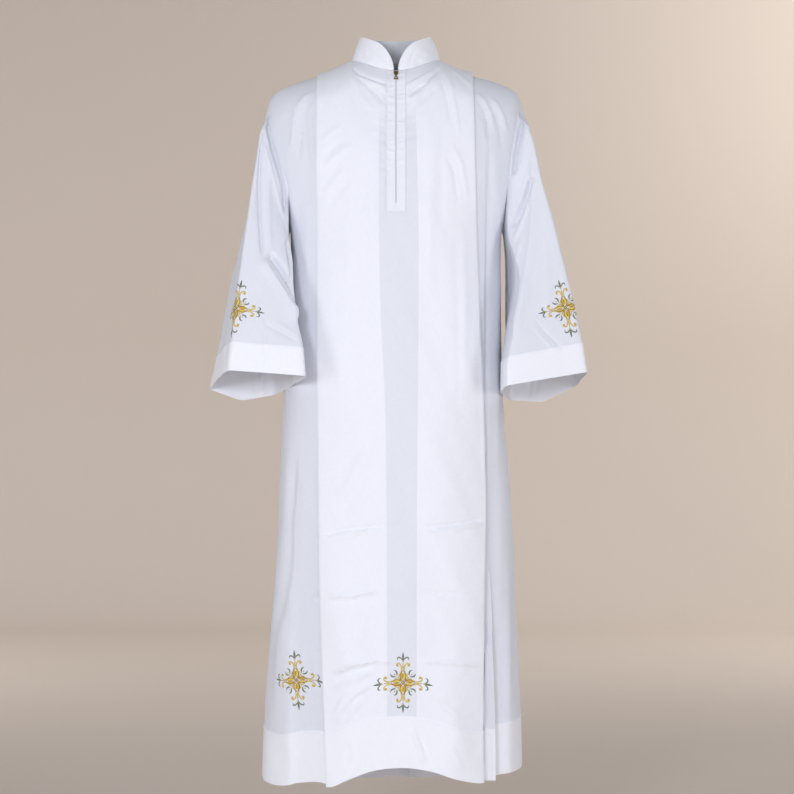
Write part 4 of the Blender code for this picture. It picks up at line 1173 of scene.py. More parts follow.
zipSizes = {
    "facingEdge": 18.8 * mm,
    "facingTop": 0.8,  # rows below the neckline
    "facingBottom": -0.311,
    "facingThick": 0.8 * mm,
    "facingRim": 0.9 * mm,
    "rimWidth": 2.4 * mm,
    "facingColumns": 15,
    "facingClear": 0.05 * mm,
    # how much painted show-through shade the facing gets
    "facingPlies": 2.5,
    "rowPitch": 1.3 * mm,
    "tapeWidth": 12.0 * mm,
    "tapeColumns": 9,
    "tapeRowPitch": 4 * mm,
    "tapeBottom": -0.300,
    "tapeThick": 0.6 * mm,
    "tapeBehind": 1.2 * mm,
    "tapeSplit": 0.25 * mm,
    "toothPitch": 1.5 * mm,
    "toothBehind": 0.75 * mm,
    "topTooth": -0.044,
    # mm: round one tooth, then how far out each outline of it lies and its share of the full size
    "toothOutline": ((-0.65, 0.28), (0.35, 0.36), (0.95, 0.2), (0.95, -0.2), (0.35, -0.36), (-0.65, -0.28)),
    "toothLevels": ((-0.38, 0.75), (-0.22, 1.0), (0.22, 1.0), (0.38, 0.75)),
}

# little pulls in the facing; each pair is the least and the most
facingPulls = {
    "count": 46,
    "down": (0.004, 0.25),
    "slant": (-0.5, 0.35),
    "width": (1.6, 3.2),  # mm
    "rise": (0.3, 1.0),
    "height": 0.9 * mm,
    "deepest": 0.25 * mm,
    "seed": 17,
}


def columnAt(cloth, rows, x):
    # columns of the front's box panel where x has a given value, for each row
    first, last = cloth["box"]
    spread = cloth["flat"][:, first:last, 0]
    across = np.arange(first, last)
    low = np.clip(np.floor(rows).astype(int), 0, len(spread) - 2)
    return np.array([np.interp(x, mix(spread[i], spread[i + 1], row - i), across) for i, row in zip(low, rows)])


def rowsBetween(cloth, top, bottom, pitch):
    # rows down the middle of the front, evenly spaced, from a row to a height
    line = cloth["middle"][:, cloth["slitColumn"]]
    gone = lengthsAlong(line)
    start = np.interp(top, np.arange(len(gone)), gone)
    end = np.interp(-bottom, -line[:, 2], gone)
    count = int((end - start) / pitch) + 1
    return np.interp(np.linspace(start, end, count), gone, np.arange(len(gone)))


def stripOnFront(cloth, xs, rows, height, thickness, lift=0.0):
    # a strip of cloth lying on the front's outer side or, with a negative height, behind it
    columns = np.stack([columnAt(cloth, rows, x) for x in xs], axis=1)
    points, out = onCloth(cloth, rows[:, None] + 0 * columns, columns)
    middle = points + out * (height + lift + 0 * columns)[..., None]
    half = np.full(columns.shape, thickness / 2)
    return settle({"middle": middle, "out": out, "outside": half, "inside": half, "plies": zipSizes["facingPlies"]})


def facingCloth(cloth):
    edge = zipSizes["facingEdge"]
    slit = panelGrid["slit"]
    inside = np.linspace(0, 1, zipSizes["facingColumns"])
    xs = np.concatenate([mix(-edge, -slit, inside), mix(slit, edge, inside)])
    rows = rowsBetween(cloth, zipSizes["facingTop"], zipSizes["facingBottom"], zipSizes["rowPitch"])
    down = np.arange(len(rows))[:, None] * zipSizes["rowPitch"]
    across = np.abs(xs)[None, :]
    chance = random.Random(facingPulls["seed"])
    lift = np.zeros((len(rows), len(xs)))
    for side in (right, left):
        for _ in range(facingPulls["count"]):
            place = chance.uniform(*facingPulls["down"])
            slant = chance.uniform(*facingPulls["slant"])
            width = chance.uniform(*facingPulls["width"]) * mm
            rise = chance.uniform(*facingPulls["rise"]) * chance.choice((-0.7, 1, 1)) * facingPulls["height"]
            near = smooth(side * xs[None, :] / mm) * np.sin(math.pi * np.clip((across - slit) / (edge - slit), 0, 1))
            lift += rise * near * np.exp(-(((down - place - slant * across) / width) ** 2))
    lift = np.maximum(lift, -facingPulls["deepest"])
    # its edges are turned under, so they stand up a little
    fromEnd = down[-1] - down
    lift += zipSizes["facingRim"] * np.exp(-((np.minimum(edge - across, fromEnd) / zipSizes["rimWidth"]) ** 2))
    height = zipSizes["facingThick"] / 2 + zipSizes["facingClear"]
    return stripOnFront(cloth, xs, rows, height, zipSizes["facingThick"], lift), rows


def tapeCloth(cloth, side):
    xs = side * np.linspace(zipSizes["tapeSplit"], zipSizes["tapeWidth"], zipSizes["tapeColumns"])
    rows = rowsBetween(cloth, zipSizes["facingTop"], zipSizes["tapeBottom"], zipSizes["tapeRowPitch"])
    height = -panelGrid["thickness"] - zipSizes["tapeBehind"]
    return stripOnFront(cloth, xs, rows, height, zipSizes["tapeThick"])


def zipTeeth(cloth):
    # moulded teeth: one rounded block, repeated down each tape, the two rows interleaved
    outline = np.array(zipSizes["toothOutline"])
    loops = [np.column_stack((outline * share, np.full(len(outline), lift))) * mm
             for lift, share in zipSizes["toothLevels"]]
    parts = []
    for side in (right, left):
        rows = rowsBetween(cloth, zipSizes["facingTop"] + 1, zipSizes["tapeBottom"], zipSizes["toothPitch"])
        line, out = onCloth(cloth, rows, columnAt(cloth, rows, 0.0))
        down = unit(np.gradient(line, axis=0))
        line = line + down * (0.5 * zipSizes["toothPitch"] * (side == left))
        line = line - out * (zipSizes["toothBehind"] + panelGrid["thickness"])
        keep = line[:, 2] < zipSizes["topTooth"]
        over = unit(np.cross(down, out))
        over *= np.sign(over[:, :1]) * side
        parts.append(copies(closedShape(loops), line[keep], over[keep], down[keep], out[keep]))
    return joined(parts)


def outwards(piece):
    # every closed part of the mesh gets its faces turned to the outside
    shape = bmesh.new()
    shape.from_mesh(piece.data)
    bmesh.ops.recalc_face_normals(shape, faces=shape.faces)
    shape.to_mesh(piece.data)
    shape.free()


metalEdge = {"weld": 0.00002, "flat": 2, "sharp": 25, "shade": 40, "segments": 3}  # metres, degrees


def roundedMetal(node, name, finish, width):
    # the solid's own shape with its edges rounded off, as cast and tumbled metal has
    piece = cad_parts[node].copy()
    piece.data = piece.data.copy()
    piece.parent = None
    for key in list(piece.keys()):
        del piece[key]
    piece.name = name
    bpy.context.scene.collection.objects.link(piece)
    bpy.ops.object.select_all(action="DESELECT")
    piece.select_set(True)
    bpy.context.view_layer.objects.active = piece
    bpy.ops.object.mode_set(mode="EDIT")
    bpy.ops.mesh.select_all(action="SELECT")
    bpy.ops.mesh.remove_doubles(threshold=metalEdge["weld"])
    bpy.ops.mesh.dissolve_limited(angle_limit=math.radians(metalEdge["flat"]))
    bpy.ops.object.mode_set(mode="OBJECT")
    bevel = piece.modifiers.new("edges", "BEVEL")
    bevel.width = width
    bevel.segments = metalEdge["segments"]
    bevel.limit_method = "ANGLE"
    bevel.angle_limit = math.radians(metalEdge["sharp"])
    bpy.ops.object.modifier_apply(modifier="edges")
    bpy.ops.object.shade_smooth_by_angle(angle=math.radians(metalEdge["shade"]))
    piece.data.materials.clear()
    piece.data.materials.append(finish)
    piece.select_set(False)
    return piece


# Stitches: each a short thread that comes out of the cloth and dives back in

stitch = {
    "pitch": 2.6 * mm,
    "length": 2.05 * mm,
    "thick": 0.44 * mm,
    "rise": 0.2 * mm,
    "sides": 5,
    "rings": ((0.12, -0.3, 0.7), (0.35, 0.8, 1.0), (0.65, 0.8, 1.0), (0.88, -0.3, 0.7)),  # along, rise, thickness
    "dive": 1.6,
}


def stitchShape():
    turns = np.arange(stitch["sides"]) / stitch["sides"] * 2 * math.pi
    loops = []
    for share, rise, thick in stitch["rings"]:
        across = np.cos(turns) * thick * stitch["thick"] / 2
        up = np.sin(turns) * thick * stitch["thick"] / 2 + rise * stitch["rise"]
        loops.append(np.column_stack((across, np.full(len(turns), share * stitch["length"]), up)))
    deep = -stitch["dive"] * stitch["rise"]
    return closedShape(loops, np.array(((0.0, 0.0, deep), (0.0, stitch["length"], deep))))


def stitchLines(lines):
    # lines: points and the directions they face, down the middle of each line of stitching
    parts = []
    for points, faced in lines:
        gone = lengthsAlong(points)
        starts = np.arange(0.5 * stitch["pitch"], gone[-1] - stitch["pitch"], stitch["pitch"])

        def at(values, where):
            return np.stack([np.interp(where, gone, values[:, axis]) for axis in range(3)], axis=-1)

        begin = at(points, starts)
        along = unit(at(points, starts + stitch["length"]) - begin)
        over = unit(np.cross(along, at(faced, starts)))
        parts.append(copies(stitchShape(), begin, over, along, np.cross(over, along)))
    return joined(parts)


def lineAlongRow(cloth, row, first=0, last=None):
    whole = cloth["middle"].shape[1]
    columns = np.arange(first, whole + 1 if cloth["ring"] else last or whole, dtype=float)
    return onCloth(cloth, np.full(len(columns), float(row)), columns)


# Embroidered crosses: satin stitch, charted once in mm and laid on the cloth four times

embroidery = {
    "arms": 4,
    "step": 1.3,
    "finePoints": 12,  # between two charted points
    "rise": 0.55,
    "sunk": 0.25,
    "lowEnds": 0.55,  # share of the rise at a ribbon's ends
    "ends": 0.03,
    "across": (-1.0, -0.72, 0.0, 0.72, 1.0, 0.0),  # once round a ribbon: places over its width, then heights
    "high": (-0.3, 0.62, 1.0, 0.62, -0.3, -0.5),
    "gridReach": 60,  # rows and columns of cloth to each side of the middle
    "gridStep": 2,
}

threads = ("darkGold", "gold", "brightGold", "paleGold", "green")
single, paired = False, True

# One arm, pointing up: thread, half-width, fullness of the ends, extra height, whether its mirror image is
# stitched too, then its points
armChart = (
    # each petal: gold on one half, and on the other a paler gold that is a painted highlight
    ("gold", 2.9, 0.8, 0.0, single, ((-2.5, 4.5), (-3.1, 12.5), (-1.9, 21.0))),
    ("brightGold", 2.9, 0.8, 0.0, single, ((2.5, 4.5), (3.1, 12.5), (1.9, 21.0))),
    ("darkGold", 0.95, 0.3, 0.25, paired, ((0.0, 2.0), (-4.6, 7.2), (-5.9, 13.2), (-3.6, 19.4), (0.0, 23.6))),
    ("darkGold", 0.55, 0.4, 0.3, single, ((0.0, 5.0), (0.0, 18.0))),
    ("paleGold", 1.5, 0.35, 0.1, paired, ((-4.2, 19.6), (-2.5, 26.0), (-3.4, 32.0), (-7.0, 36.4), (-10.8, 36.6),
                                          (-12.6, 33.6), (-10.6, 31.0), (-8.4, 32.8))),
    ("gold", 1.1, 0.35, 0.0, single, ((0.0, 24.0), (0.0, 38.0))),
    ("gold", 2.0, 0.6, 0.25, paired, ((-12.0, 34.0), (-8.8, 33.6))),
    ("green", 2.2, 0.9, 0.15, single, ((0.0, 38.4), (0.0, 50.0), (0.0, 58.0))),
    ("green", 1.5, 0.7, 0.0, paired, ((-1.0, 42.4), (-4.2, 46.6), (-8.2, 48.4), (-10.9, 46.2), (-10.4, 42.8))),
    ("gold", 1.5, 0.55, 0.35, single, ((-2.1, 42.6), (2.1, 42.6))),
)

# One corner, charted as if it pointed up too
cornerChart = (
    ("gold", 1.2, 0.7, 0.0, single, ((0.0, 4.0), (0.0, 12.0), (0.0, 16.0))),
    ("paleGold", 1.1, 0.4, 0.1, paired, ((0.0, 12.0), (-3.4, 15.6), (-7.2, 16.0), (-8.6, 12.8), (-6.6, 11.4))),
    ("green", 1.7, 0.75, 0.0, paired, ((-0.6, 17.6), (-4.2, 20.6), (-6.2, 25.2), (-4.4, 29.8))),
    ("gold", 1.5, 0.6, 0.2, single, ((0.0, 21.4), (0.0, 24.4))),
)

centreChart = (
    ("darkGold", 2.9, 0.55, 0.45, single, ((-2.9, 0.0), (2.9, 0.0))),
    # the paler gold on top of the centre is a painted highlight
    ("brightGold", 1.6, 0.55, 0.85, single, ((-1.6, 0.0), (1.6, 0.0))),
)


def smoothLine(control, step):
    # a curve through the control points, as points a step apart
    control = np.array(control, dtype=float)
    before = 2 * control[0] - control[1]
    after = 2 * control[-1] - control[-2]
    knots = np.vstack([before, control, after])
    t = np.linspace(0, 1, embroidery["finePoints"], endpoint=False)[:, None]
    line = []
    for a, b, c, d in zip(knots, knots[1:], knots[2:], knots[3:]):
        line.append(0.5 * (2 * b + (c - a) * t + (2 * a - 5 * b + 4 * c - d) * t**2 + (3 * b - a - 3 * c + d) * t**3))
    line = np.vstack(line + [control[-1:]])
    gone = lengthsAlong(line)
    count = max(int(gone[-1] / step), 4) + 1
    where = np.linspace(0, gone[-1], count)
    return np.column_stack([np.interp(where, gone, line[:, axis]) for axis in (0, 1)]), where


def satinRibbon(halfWidth, fullness, extra, control, turn):
    # loops of points in the chart, (across, up, height), with their place along and across the thread's run
    line, gone = smoothLine(control, embroidery["step"])
    heading = unit(np.gradient(line, axis=0))
    side = np.column_stack((heading[:, 1], -heading[:, 0]))
    swell = np.sin(math.pi * np.linspace(embroidery["ends"], 1 - embroidery["ends"], len(line)))[:, None]
    across = np.array(embroidery["across"])
    high = np.array(embroidery["high"])
    width = halfWidth * swell**fullness * across
    places = line[:, None] + side[:, None] * width[..., None]
    low = embroidery["lowEnds"]
    rise = embroidery["rise"] * (low + (1 - low) * swell) * high + extra * (high > 0)
    rise = np.where(high > 0, rise, -embroidery["sunk"])
    cosine, sine = math.cos(turn), math.sin(turn)
    u = places[..., 0] * cosine + places[..., 1] * sine
    v = places[..., 1] * cosine - places[..., 0] * sine
    return np.stack((u, v, rise), axis=-1), np.stack((gone[:, None] + 0 * across, width), axis=-1)


def crossChart():
    # every ribbon of one cross, by thread
    ribbons = {thread: [] for thread in threads}
    quarter = 2 * math.pi / embroidery["arms"]
    turns = [(armChart, k * quarter) for k in range(embroidery["arms"])]
    turns += [(cornerChart, (k + 0.5) * quarter) for k in range(embroidery["arms"])]
    for chart, turn in turns + [(centreChart, 0.0)]:
        for thread, halfWidth, fullness, extra, mirrored, control in chart:
            for flip in (1, -1) if mirrored else (1,):
                points = [(flip * x, y) for x, y in control]
                ribbons[thread].append(satinRibbon(halfWidth, fullness, extra, points, turn))
    return ribbons


def chartOnCloth(cloth, row, column, twist):
    # lays chart points on the cloth round a centre, measuring along its rows and columns
    rows, columns = cloth["middle"].shape[:2]
    reach, near = embroidery["gridReach"], embroidery["gridStep"]
    spread = np.arange(-reach, reach + 1)
    across = column + spread if cloth["ring"] else np.clip(column + spread, 0, columns - 1)
    fall = np.clip(row + spread, 0, rows - lastCell)
    line = onCloth(cloth, np.full(len(spread), row), across)[0]
    drop = onCloth(cloth, fall, np.full(len(spread), column))[0]
    overGone = lengthsAlong(line)
    downGone = lengthsAlong(drop)
    overGone -= overGone[reach]
    downGone -= downGone[reach]
    over = unit(line[reach + near] - line[reach - near])
    down = unit(drop[reach + near] - drop[reach - near])
    facing = onCloth(cloth, np.array([row]), np.array([column]))[1][0]
    # the chart's own upright axes, in the slanting axes of the grid
    upright = unit(np.array((0.0, 0.0, 1.0)) - facing * facing[2])
    level = np.cross(upright, facing)
    turn = math.radians(twist)
    axisU = level * math.cos(turn) + upright * math.sin(turn)
    axisV = upright * math.cos(turn) - level * math.sin(turn)
    slant = np.linalg.inv(np.array(((over @ over, over @ down), (over @ down, down @ down))))
    toGrid = [slant @ np.array((axis @ over, axis @ down)) for axis in (axisU, axisV)]

    def lay(points):
        u, v, rise = points[..., 0] * mm, points[..., 1] * mm, points[..., 2] * mm
        columnsThere = np.interp(u * toGrid[0][0] + v * toGrid[1][0], overGone, across)
        rowsThere = np.interp(u * toGrid[0][1] + v * toGrid[1][1], downGone, fall)
        base, faced = onCloth(cloth, rowsThere, columnsThere)
        return base + faced * rise[..., None]

    return lay


def embroideredCross(name, ribbons, lay, finishes):
    vertices, uvs, skins, caps, skinNumbers, capNumbers = [], [], [], [], [], []
    gone = 0
    for number, thread in enumerate(threads):
        for points, uv in ribbons[thread]:
            placed = lay(points)
            count, sides = placed.shape[:2]
            grid = gone + np.arange(count * sides).reshape(count, sides)
            after = np.roll(grid, -1, axis=1)
            skins.append(np.stack((grid[:-1], after[:-1], after[1:], grid[1:]), axis=-1).reshape(-1, 4))
            caps.append(np.array([grid[0, ::-1], grid[-1]]))
            skinNumbers.append(np.full(len(skins[-1]), number))
            capNumbers.append(np.full(2, number))
            vertices.append(placed.reshape(-1, 3))
            uvs.append(uv.reshape(-1, 2) * mm)
            gone += count * sides
    piece = meshPiece(name, np.concatenate(vertices), [np.concatenate(skins), np.concatenate(caps)], finishes[0],
                      np.concatenate(uvs), smoothAngle=75)
    for finish in finishes[1:]:
        piece.data.materials.append(finish)
    numbers = np.concatenate(skinNumbers + capNumbers).astype(np.int32)
    piece.data.polygons.foreach_set("material_index", numbers)
    outwards(piece)
    return piece


# Materials

def linear(hexColour):
    # an sRGB hex colour as linear red, green, blue
    parts = [int(hexColour[i:i + 2], 16) / 255 for i in (1, 3, 5)]
    return tuple(p / 12.92 if p <= 0.04045 else ((p + 0.055) / 1.055) ** 2.4 for p in parts) + (1.0,)


def pick(sockets, name):
    # a Mix node's sockets share their names, so their identifiers are looked up first
    return next((socket for socket in sockets if socket.identifier == name), None) or sockets[name]


def setUp(tree, node, settings=None, links=None):
    # settings: attributes or socket values by name; links: socket name to (node, output name)
    for name, value in (settings or {}).items():
        if hasattr(node, name):
            setattr(node, name, value)
        else:
            pick(node.inputs, name).default_value = value
    for name, (source, output) in (links or {}).items():
        tree.links.new(pick(source.outputs, output), pick(node.inputs, name))
    return node


def addNode(tree, kind, settings=None, links=None):
    return setUp(tree, tree.nodes.new(kind), settings, links)


def newMaterial(name):
    made = bpy.data.materials.new(name)
    made.use_nodes = True
    return made, made.node_tree, made.node_tree.nodes["Principled BSDF"]


def clothMillimetres(tree):
    # the piece's own coordinates, in mm
    uv = addNode(tree, "ShaderNodeUVMap", {"uv_map": "cloth"})
    return addNode(tree, "ShaderNodeMapping", {"Scale": (1000.0, 1000.0, 1000.0)}, {"Vector": (uv, "UV")})


def waves(tree, where, pitch, direction, **settings):
    # dark and light bands, one pair to each pitch in mm
    return addNode(tree, "ShaderNodeTexWave", {
        "wave_type": "BANDS", "bands_direction": direction, "wave_profile": "SIN", "Scale": math.pi / (10 * pitch),
        **settings}, {"Vector": (where, "Vector")})


def noise(tree, where, output, scale, detail, roughness, distortion=0.0):
    return addNode(tree, "ShaderNodeTexNoise", {
        "Scale": scale, "Detail": detail, "Roughness": roughness, "Distortion": distortion,
    }, {"Vector": (where, output)})


def added(tree, pair):
    return addNode(tree, "ShaderNodeMath", {"operation": "ADD"}, {0: (pair[0], "Fac"), 1: (pair[1], "Fac")})


def mixed(tree, first, second, share):
    return addNode(tree, "ShaderNodeMix", {"data_type": "RGBA", "A_Color": first, "B_Color": second},
                   {"Factor_Float": share})


def bump(tree, strength, distance, height, under=None):
    # distance in metres; under is the bump that this one lies on
    links = {"Height": height} | ({"Normal": (under, "Normal")} if under else {})
    return addNode(tree, "ShaderNodeBump", {"Strength": strength, "Distance": distance}, links)


clothFinish = {
    # single carries the painted shade of one thin layer; double is for layers lying on each other
    "single": "#E5E7EE",
    "double": "#F4F5FA",
    "slubShade": 0.035,
    "threadPitch": 1.1,  # mm; the real threads, 0.35 mm apart, are too fine to show, so they are drawn in threes
    "slubLength": 16.0,  # mm
    "slubWidth": 1.5,  # mm
    "weaveBump": 0.06,
    "slubBump": 0.12,
    "rumpleBump": 0.10,
    "rumpleSize": 22.0,  # mm
}

collarFinish = dict(clothFinish, slubBump=0.06, rumpleBump=0.05)


def plainWeave(name, settings):
    # polyester and cotton plain weave, pressed: matt white, a faint grid of uneven threads,
    # painted shade: greyer where one layer would let the shade behind show through, whiter where layers lie on each
    # other
    made, tree, shader = newMaterial(name)
    millimetres = clothMillimetres(tree)
    slubs = []
    threads = []
    along = 1 / settings["slubLength"]
    across = 1 / settings["slubWidth"]
    for direction, scale in (("X", (across, along, 1.0)), ("Y", (along, across, 1.0))):
        stretched = addNode(tree, "ShaderNodeMapping", {"Scale": scale}, {"Vector": (millimetres, "Vector")})
        slubs.append(noise(tree, stretched, "Vector", 1.0, 2.0, 0.5))
        threads.append(waves(tree, millimetres, settings["threadPitch"], direction,
                             **{"Distortion": 0.6, "Detail Scale": 0.3}))
    slub = added(tree, slubs)
    thread = added(tree, threads)
    plies = addNode(tree, "ShaderNodeAttribute", {"attribute_name": "plies"})
    # painted shade, fading as more layers lie on each other
    showThroughShadeLifted = addNode(tree, "ShaderNodeMapRange", {"From Min": 1.0, "From Max": whitestPlies},
                      {"Value": (plies, "Fac")})
    colour = mixed(tree, linear(settings["single"]), linear(settings["double"]), (showThroughShadeLifted, "Result"))
    shade = addNode(tree, "ShaderNodeMapRange", {
        "From Min": 0.75, "From Max": 1.25, "To Min": 1 - settings["slubShade"], "To Max": 1.0,
    }, {"Value": (slub, "Value")})
    shaded = addNode(tree, "ShaderNodeVectorMath", {"operation": "SCALE"},
                     {0: (colour, "Result_Color"), "Scale": (shade, "Result")})
    rumple = noise(tree, millimetres, "Vector", 1 / settings["rumpleSize"], 3.0, 0.55, 0.4)
    fine = bump(tree, settings["weaveBump"], 0.0003, (thread, "Value"))
    uneven = bump(tree, settings["slubBump"], 0.0006, (slub, "Value"), fine)
    soft = bump(tree, settings["rumpleBump"], 0.004, (rumple, "Fac"), uneven)
    setUp(tree, shader, {"Roughness": 0.86, "Specular IOR Level": 0.25, "Sheen Weight": 0.08, "Sheen Roughness": 0.5},
          {"Base Color": (shaded, "Vector"), "Normal": (soft, "Normal")})
    return made


def ribbedMaterial(name, colour, roughness, pitch, direction, depth, sheen=0.0):
    # thread or tape that is wound, twisted or woven in ribs: pitch in mm on the piece's own coordinates
    made, tree, shader = newMaterial(name)
    ribs = waves(tree, clothMillimetres(tree), pitch, direction,
                 **{"Distortion": 1.2, "Detail": 1.0, "Detail Scale": 1.5})
    # painted shade: the grooves between the ribs are coloured darker
    dark = tuple(value * 0.72 for value in linear(colour)[:3]) + (1.0,)
    shade = mixed(tree, dark, linear(colour), (ribs, "Fac"))
    raised = bump(tree, depth, 0.0002, (ribs, "Fac"))
    setUp(tree, shader, {"Roughness": roughness, "Specular IOR Level": 0.4, "Sheen Weight": sheen},
          {"Base Color": (shade, "Result_Color"), "Normal": (raised, "Normal")})
    return made


def objectMaterial(name, colours, size, roughness, metallic=0.0, depth=0.0):
    # small hard or twisted things: two close colours in soft patches, size in mm
    made, tree, shader = newMaterial(name)
    where = addNode(tree, "ShaderNodeTexCoord")
    patches = noise(tree, where, "Object", 1000.0 / size, 3.0, 0.6)
    patchShare = addNode(tree, "ShaderNodeMapRange", {"From Min": 0.38, "From Max": 0.62}, {"Value": (patches, "Fac")})
    shade = mixed(tree, linear(colours[0]), linear(colours[1]), (patchShare, "Result"))
    worn = addNode(tree, "ShaderNodeMapRange", {"To Min": roughness[0], "To Max": roughness[1]},
                   {"Value": (patches, "Fac")})
    raised = bump(tree, depth, 0.0002, (patches, "Fac"))
    setUp(tree, shader, {"Metallic": metallic}, {
        "Base Color": (shade, "Result_Color"), "Roughness": (worn, "Result"), "Normal": (raised, "Normal")})
    return made


def backdropPaint(name, colour):
    # matt painted studio sweep, plain and pale
    made, tree, shader = newMaterial(name)
    setUp(tree, shader, {"Base Color": linear(colour), "Roughness": 0.95, "Specular IOR Level": 0.1})
    return made


# Build

def dress(piece, nodes=(), body="robe"):
    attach(piece, body)
    if nodes:
        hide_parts(*nodes)


panels = {face: creasePanel(panelCloth(face)) for face in (front, back)}
print("panels drawn")
sleeves = {side: sleeveCloth(side, panels[front], panels[back]) for side in (right, left)}
print("sleeves drawn")
neckBand = collarCloth()

whiteCloth = plainWeave("polyCottonPlainWeave", clothFinish)
# interfacing stuck to its back keeps the cloth smooth
stiffCloth = plainWeave("interfacedPlainWeave", collarFinish)
# spun polyester: matt and a little fuzzy, so each stitch stays soft
sewingThread = objectMaterial("spunPolyesterThread", ("#E3E6F0", "#F4F6FC"), 0.8, (0.6, 0.75), depth=0.2)
# herringbone tape: fine slanting ribs, with painted shade between them
tapeWeave = ribbedMaterial("polyesterHerringboneTape", "#DDE0EA", 0.75, 1.2, "DIAGONAL", 0.3)
# moulded acetal: smooth, with a soft gleam
acetal = objectMaterial("mouldedAcetal", ("#C9CCD6", "#D8DBE4"), 1.5, (0.35, 0.45))
# antique brass: darkened metal, rubbed brighter in patches
brass = objectMaterial("antiqueBrass", ("#5A4526", "#A8874C"), 1.6, (0.28, 0.5), metallic=1.0, depth=0.15)
# rayon embroidery thread: its twist gives satin stitch a soft sheen in fine ribs, with painted shade in their grooves;
# colour and roughness
threadLooks = {
    "darkGold": ("#A07A1E", 0.42),
    "gold": ("#DAB443", 0.4),
    # a paler gold, a painted highlight
    "brightGold": ("#F2D45A", 0.4),
    "paleGold": ("#E3C76C", 0.42),
    "green": ("#77836A", 0.42),
}
threadFinishes = []
for thread in threads:
    name = "rayonThread" + thread[0].upper() + thread[1:]
    threadFinishes.append(ribbedMaterial(name, *threadLooks[thread], 0.7, "X", 0.5, 0.2))

# the front is cut open down to the slit's end
slitCells = [(row, panels[front]["slitColumn"] - 1) for row in range(panels[front]["slitRow"])]
dress(clothShell("frontPanel", panels[front], whiteCloth, slitCells), ["front"])
dress(clothShell("backPanel", panels[back], whiteCloth), ["back"])
for side in (right, left):
    dress(clothShell(sideName[side] + "Sleeve", sleeves[side], whiteCloth), ["sleeve_" + sideName[side]])
dress(clothShell("standingCollar", neckBand, stiffCloth), ["collar"])
print("cloth built")

facing, facingRows = facingCloth(panels[front])
slitStep = zipSizes["facingColumns"] - 1
openCells = [(row, slitStep) for row in range(int(np.searchsorted(facingRows, panels[front]["slitRow"])))]
dress(clothShell("zipFacing", facing, whiteCloth, openCells), ["zip_facing"])
for side in (right, left):
    name = sideName[side]
    dress(clothShell(name + "ZipTape", tapeCloth(panels[front], side), tapeWeave), ["zip_tape_" + name])
teeth = meshPiece("zipTeeth", *zipTeeth(panels[front]), acetal)
dress(teeth)
dress(roundedMetal("zip_slider", "zipSlider", brass, 0.3 * mm), ["zip_slider"])
dress(roundedMetal("zip_pull", "zipPull", brass, 0.22 * mm), ["zip_pull"], body="pull")
print("zip built")

# stitching: hems, cuffs, collar, neckline and zip facing, at rows and columns of each cloth's own grid
seams = {
    "belowRidge": 0.7,
    "neckRow": {front: 2.2, back: 2.6},
    "neckEnds": 12,
    "collarRows": (1.6, collar["rows"] - 2.6),
    "collarEnds": 3,
    "facingColumns": (2.2, slitStep - 1.4, slitStep + 2.4, 2 * slitStep - 1.2),
    "facingEnds": (2, -4),
    "facingRows": (len(facingRows) - 4.0, len(facingRows) - 9.0),
}
lines = {"hem": [], "cuff": [], "neck": [], "zip": []}
for face, panel in panels.items():
    lines["hem"].append(lineAlongRow(panel, panel["bandRow"] + seams["belowRidge"]))
    lines["neck"].append(lineAlongRow(panel, seams["neckRow"][face], panel["box"][0] + seams["neckEnds"],
                                      panel["box"][1] - seams["neckEnds"]))
for cloth in sleeves.values():
    lines["cuff"].append(lineAlongRow(cloth, sleeve["rows"] + seams["belowRidge"]))
for row in seams["collarRows"]:
    lines["neck"].append(lineAlongRow(neckBand, row, seams["collarEnds"], collar["columns"] - seams["collarEnds"]))
facingRun = np.arange(len(facingRows), dtype=float)[slice(*seams["facingEnds"])]
for place in seams["facingColumns"]:
    lines["zip"].append(onCloth(facing, facingRun, np.full(len(facingRun), place)))
for row in seams["facingRows"]:
    across = np.arange(1.0, 2 * slitStep + 0.5, 0.5)
    lines["zip"].append(onCloth(facing, np.full(len(across), row), across))
for name, runs in lines.items():
    dress(meshPiece(name + "Stitches", *stitchLines(runs), sewingThread))
print("stitching sewn")


def nearestPlace(cloth, x, z, first=0, last=None):
    # the grid place that is seen at x and z from the front
    grid = cloth["middle"][:, first:last]
    seen = cloth["normal"][:, first:last, 1] < 0
    off = np.where(seen, np.hypot(grid[..., 0] - x, grid[..., 2] - z), farOff)
    i, j = np.unravel_index(np.argmin(off), off.shape)
    return float(i), float(j + first)


# crosses: above the hem on the front's middle and its right side panel, and on the outside of each sleeve;
# cloth, x, z, twist in degrees, first and last column to look in
crossPlaces = {
    "frontCross": (panels[front], 0.0135, -1.219, 0.0, panels[front]["box"]),
    "sideCross": (panels[front], -0.1935, -1.219, 6.0, panels[front]["sidePanel"]),
    "rightSleeveCross": (sleeves[right], -0.3085, -0.497, 1.0, (0, None)),
    "leftSleeveCross": (sleeves[left], 0.3290, -0.497, 11.0, (0, None)),
}
ribbons = crossChart()
for name, (cloth, x, z, twist, span) in crossPlaces.items():
    row, column = nearestPlace(cloth, x, z, *span)
    cross = embroideredCross(name, ribbons, chartOnCloth(cloth, row, column, twist), threadFinishes)
    dress(cross)
print("crosses stitched")


# Stage, light and camera

stage = {
    "front": -7.0,
    "floor": -1.62,
    "wall": 6.4,
    "top": 6.0,
    "side": 9.0,
    "corner": 1.2,
    "cornerSteps": 16,
    "wallColour": "#D6CBC1",
    "air": ("#F6F6F8", 0.46),
    "camera": (0.002, -5.0, -0.67),
    "lens": 113.35,
    "sensor": 36.0,
}

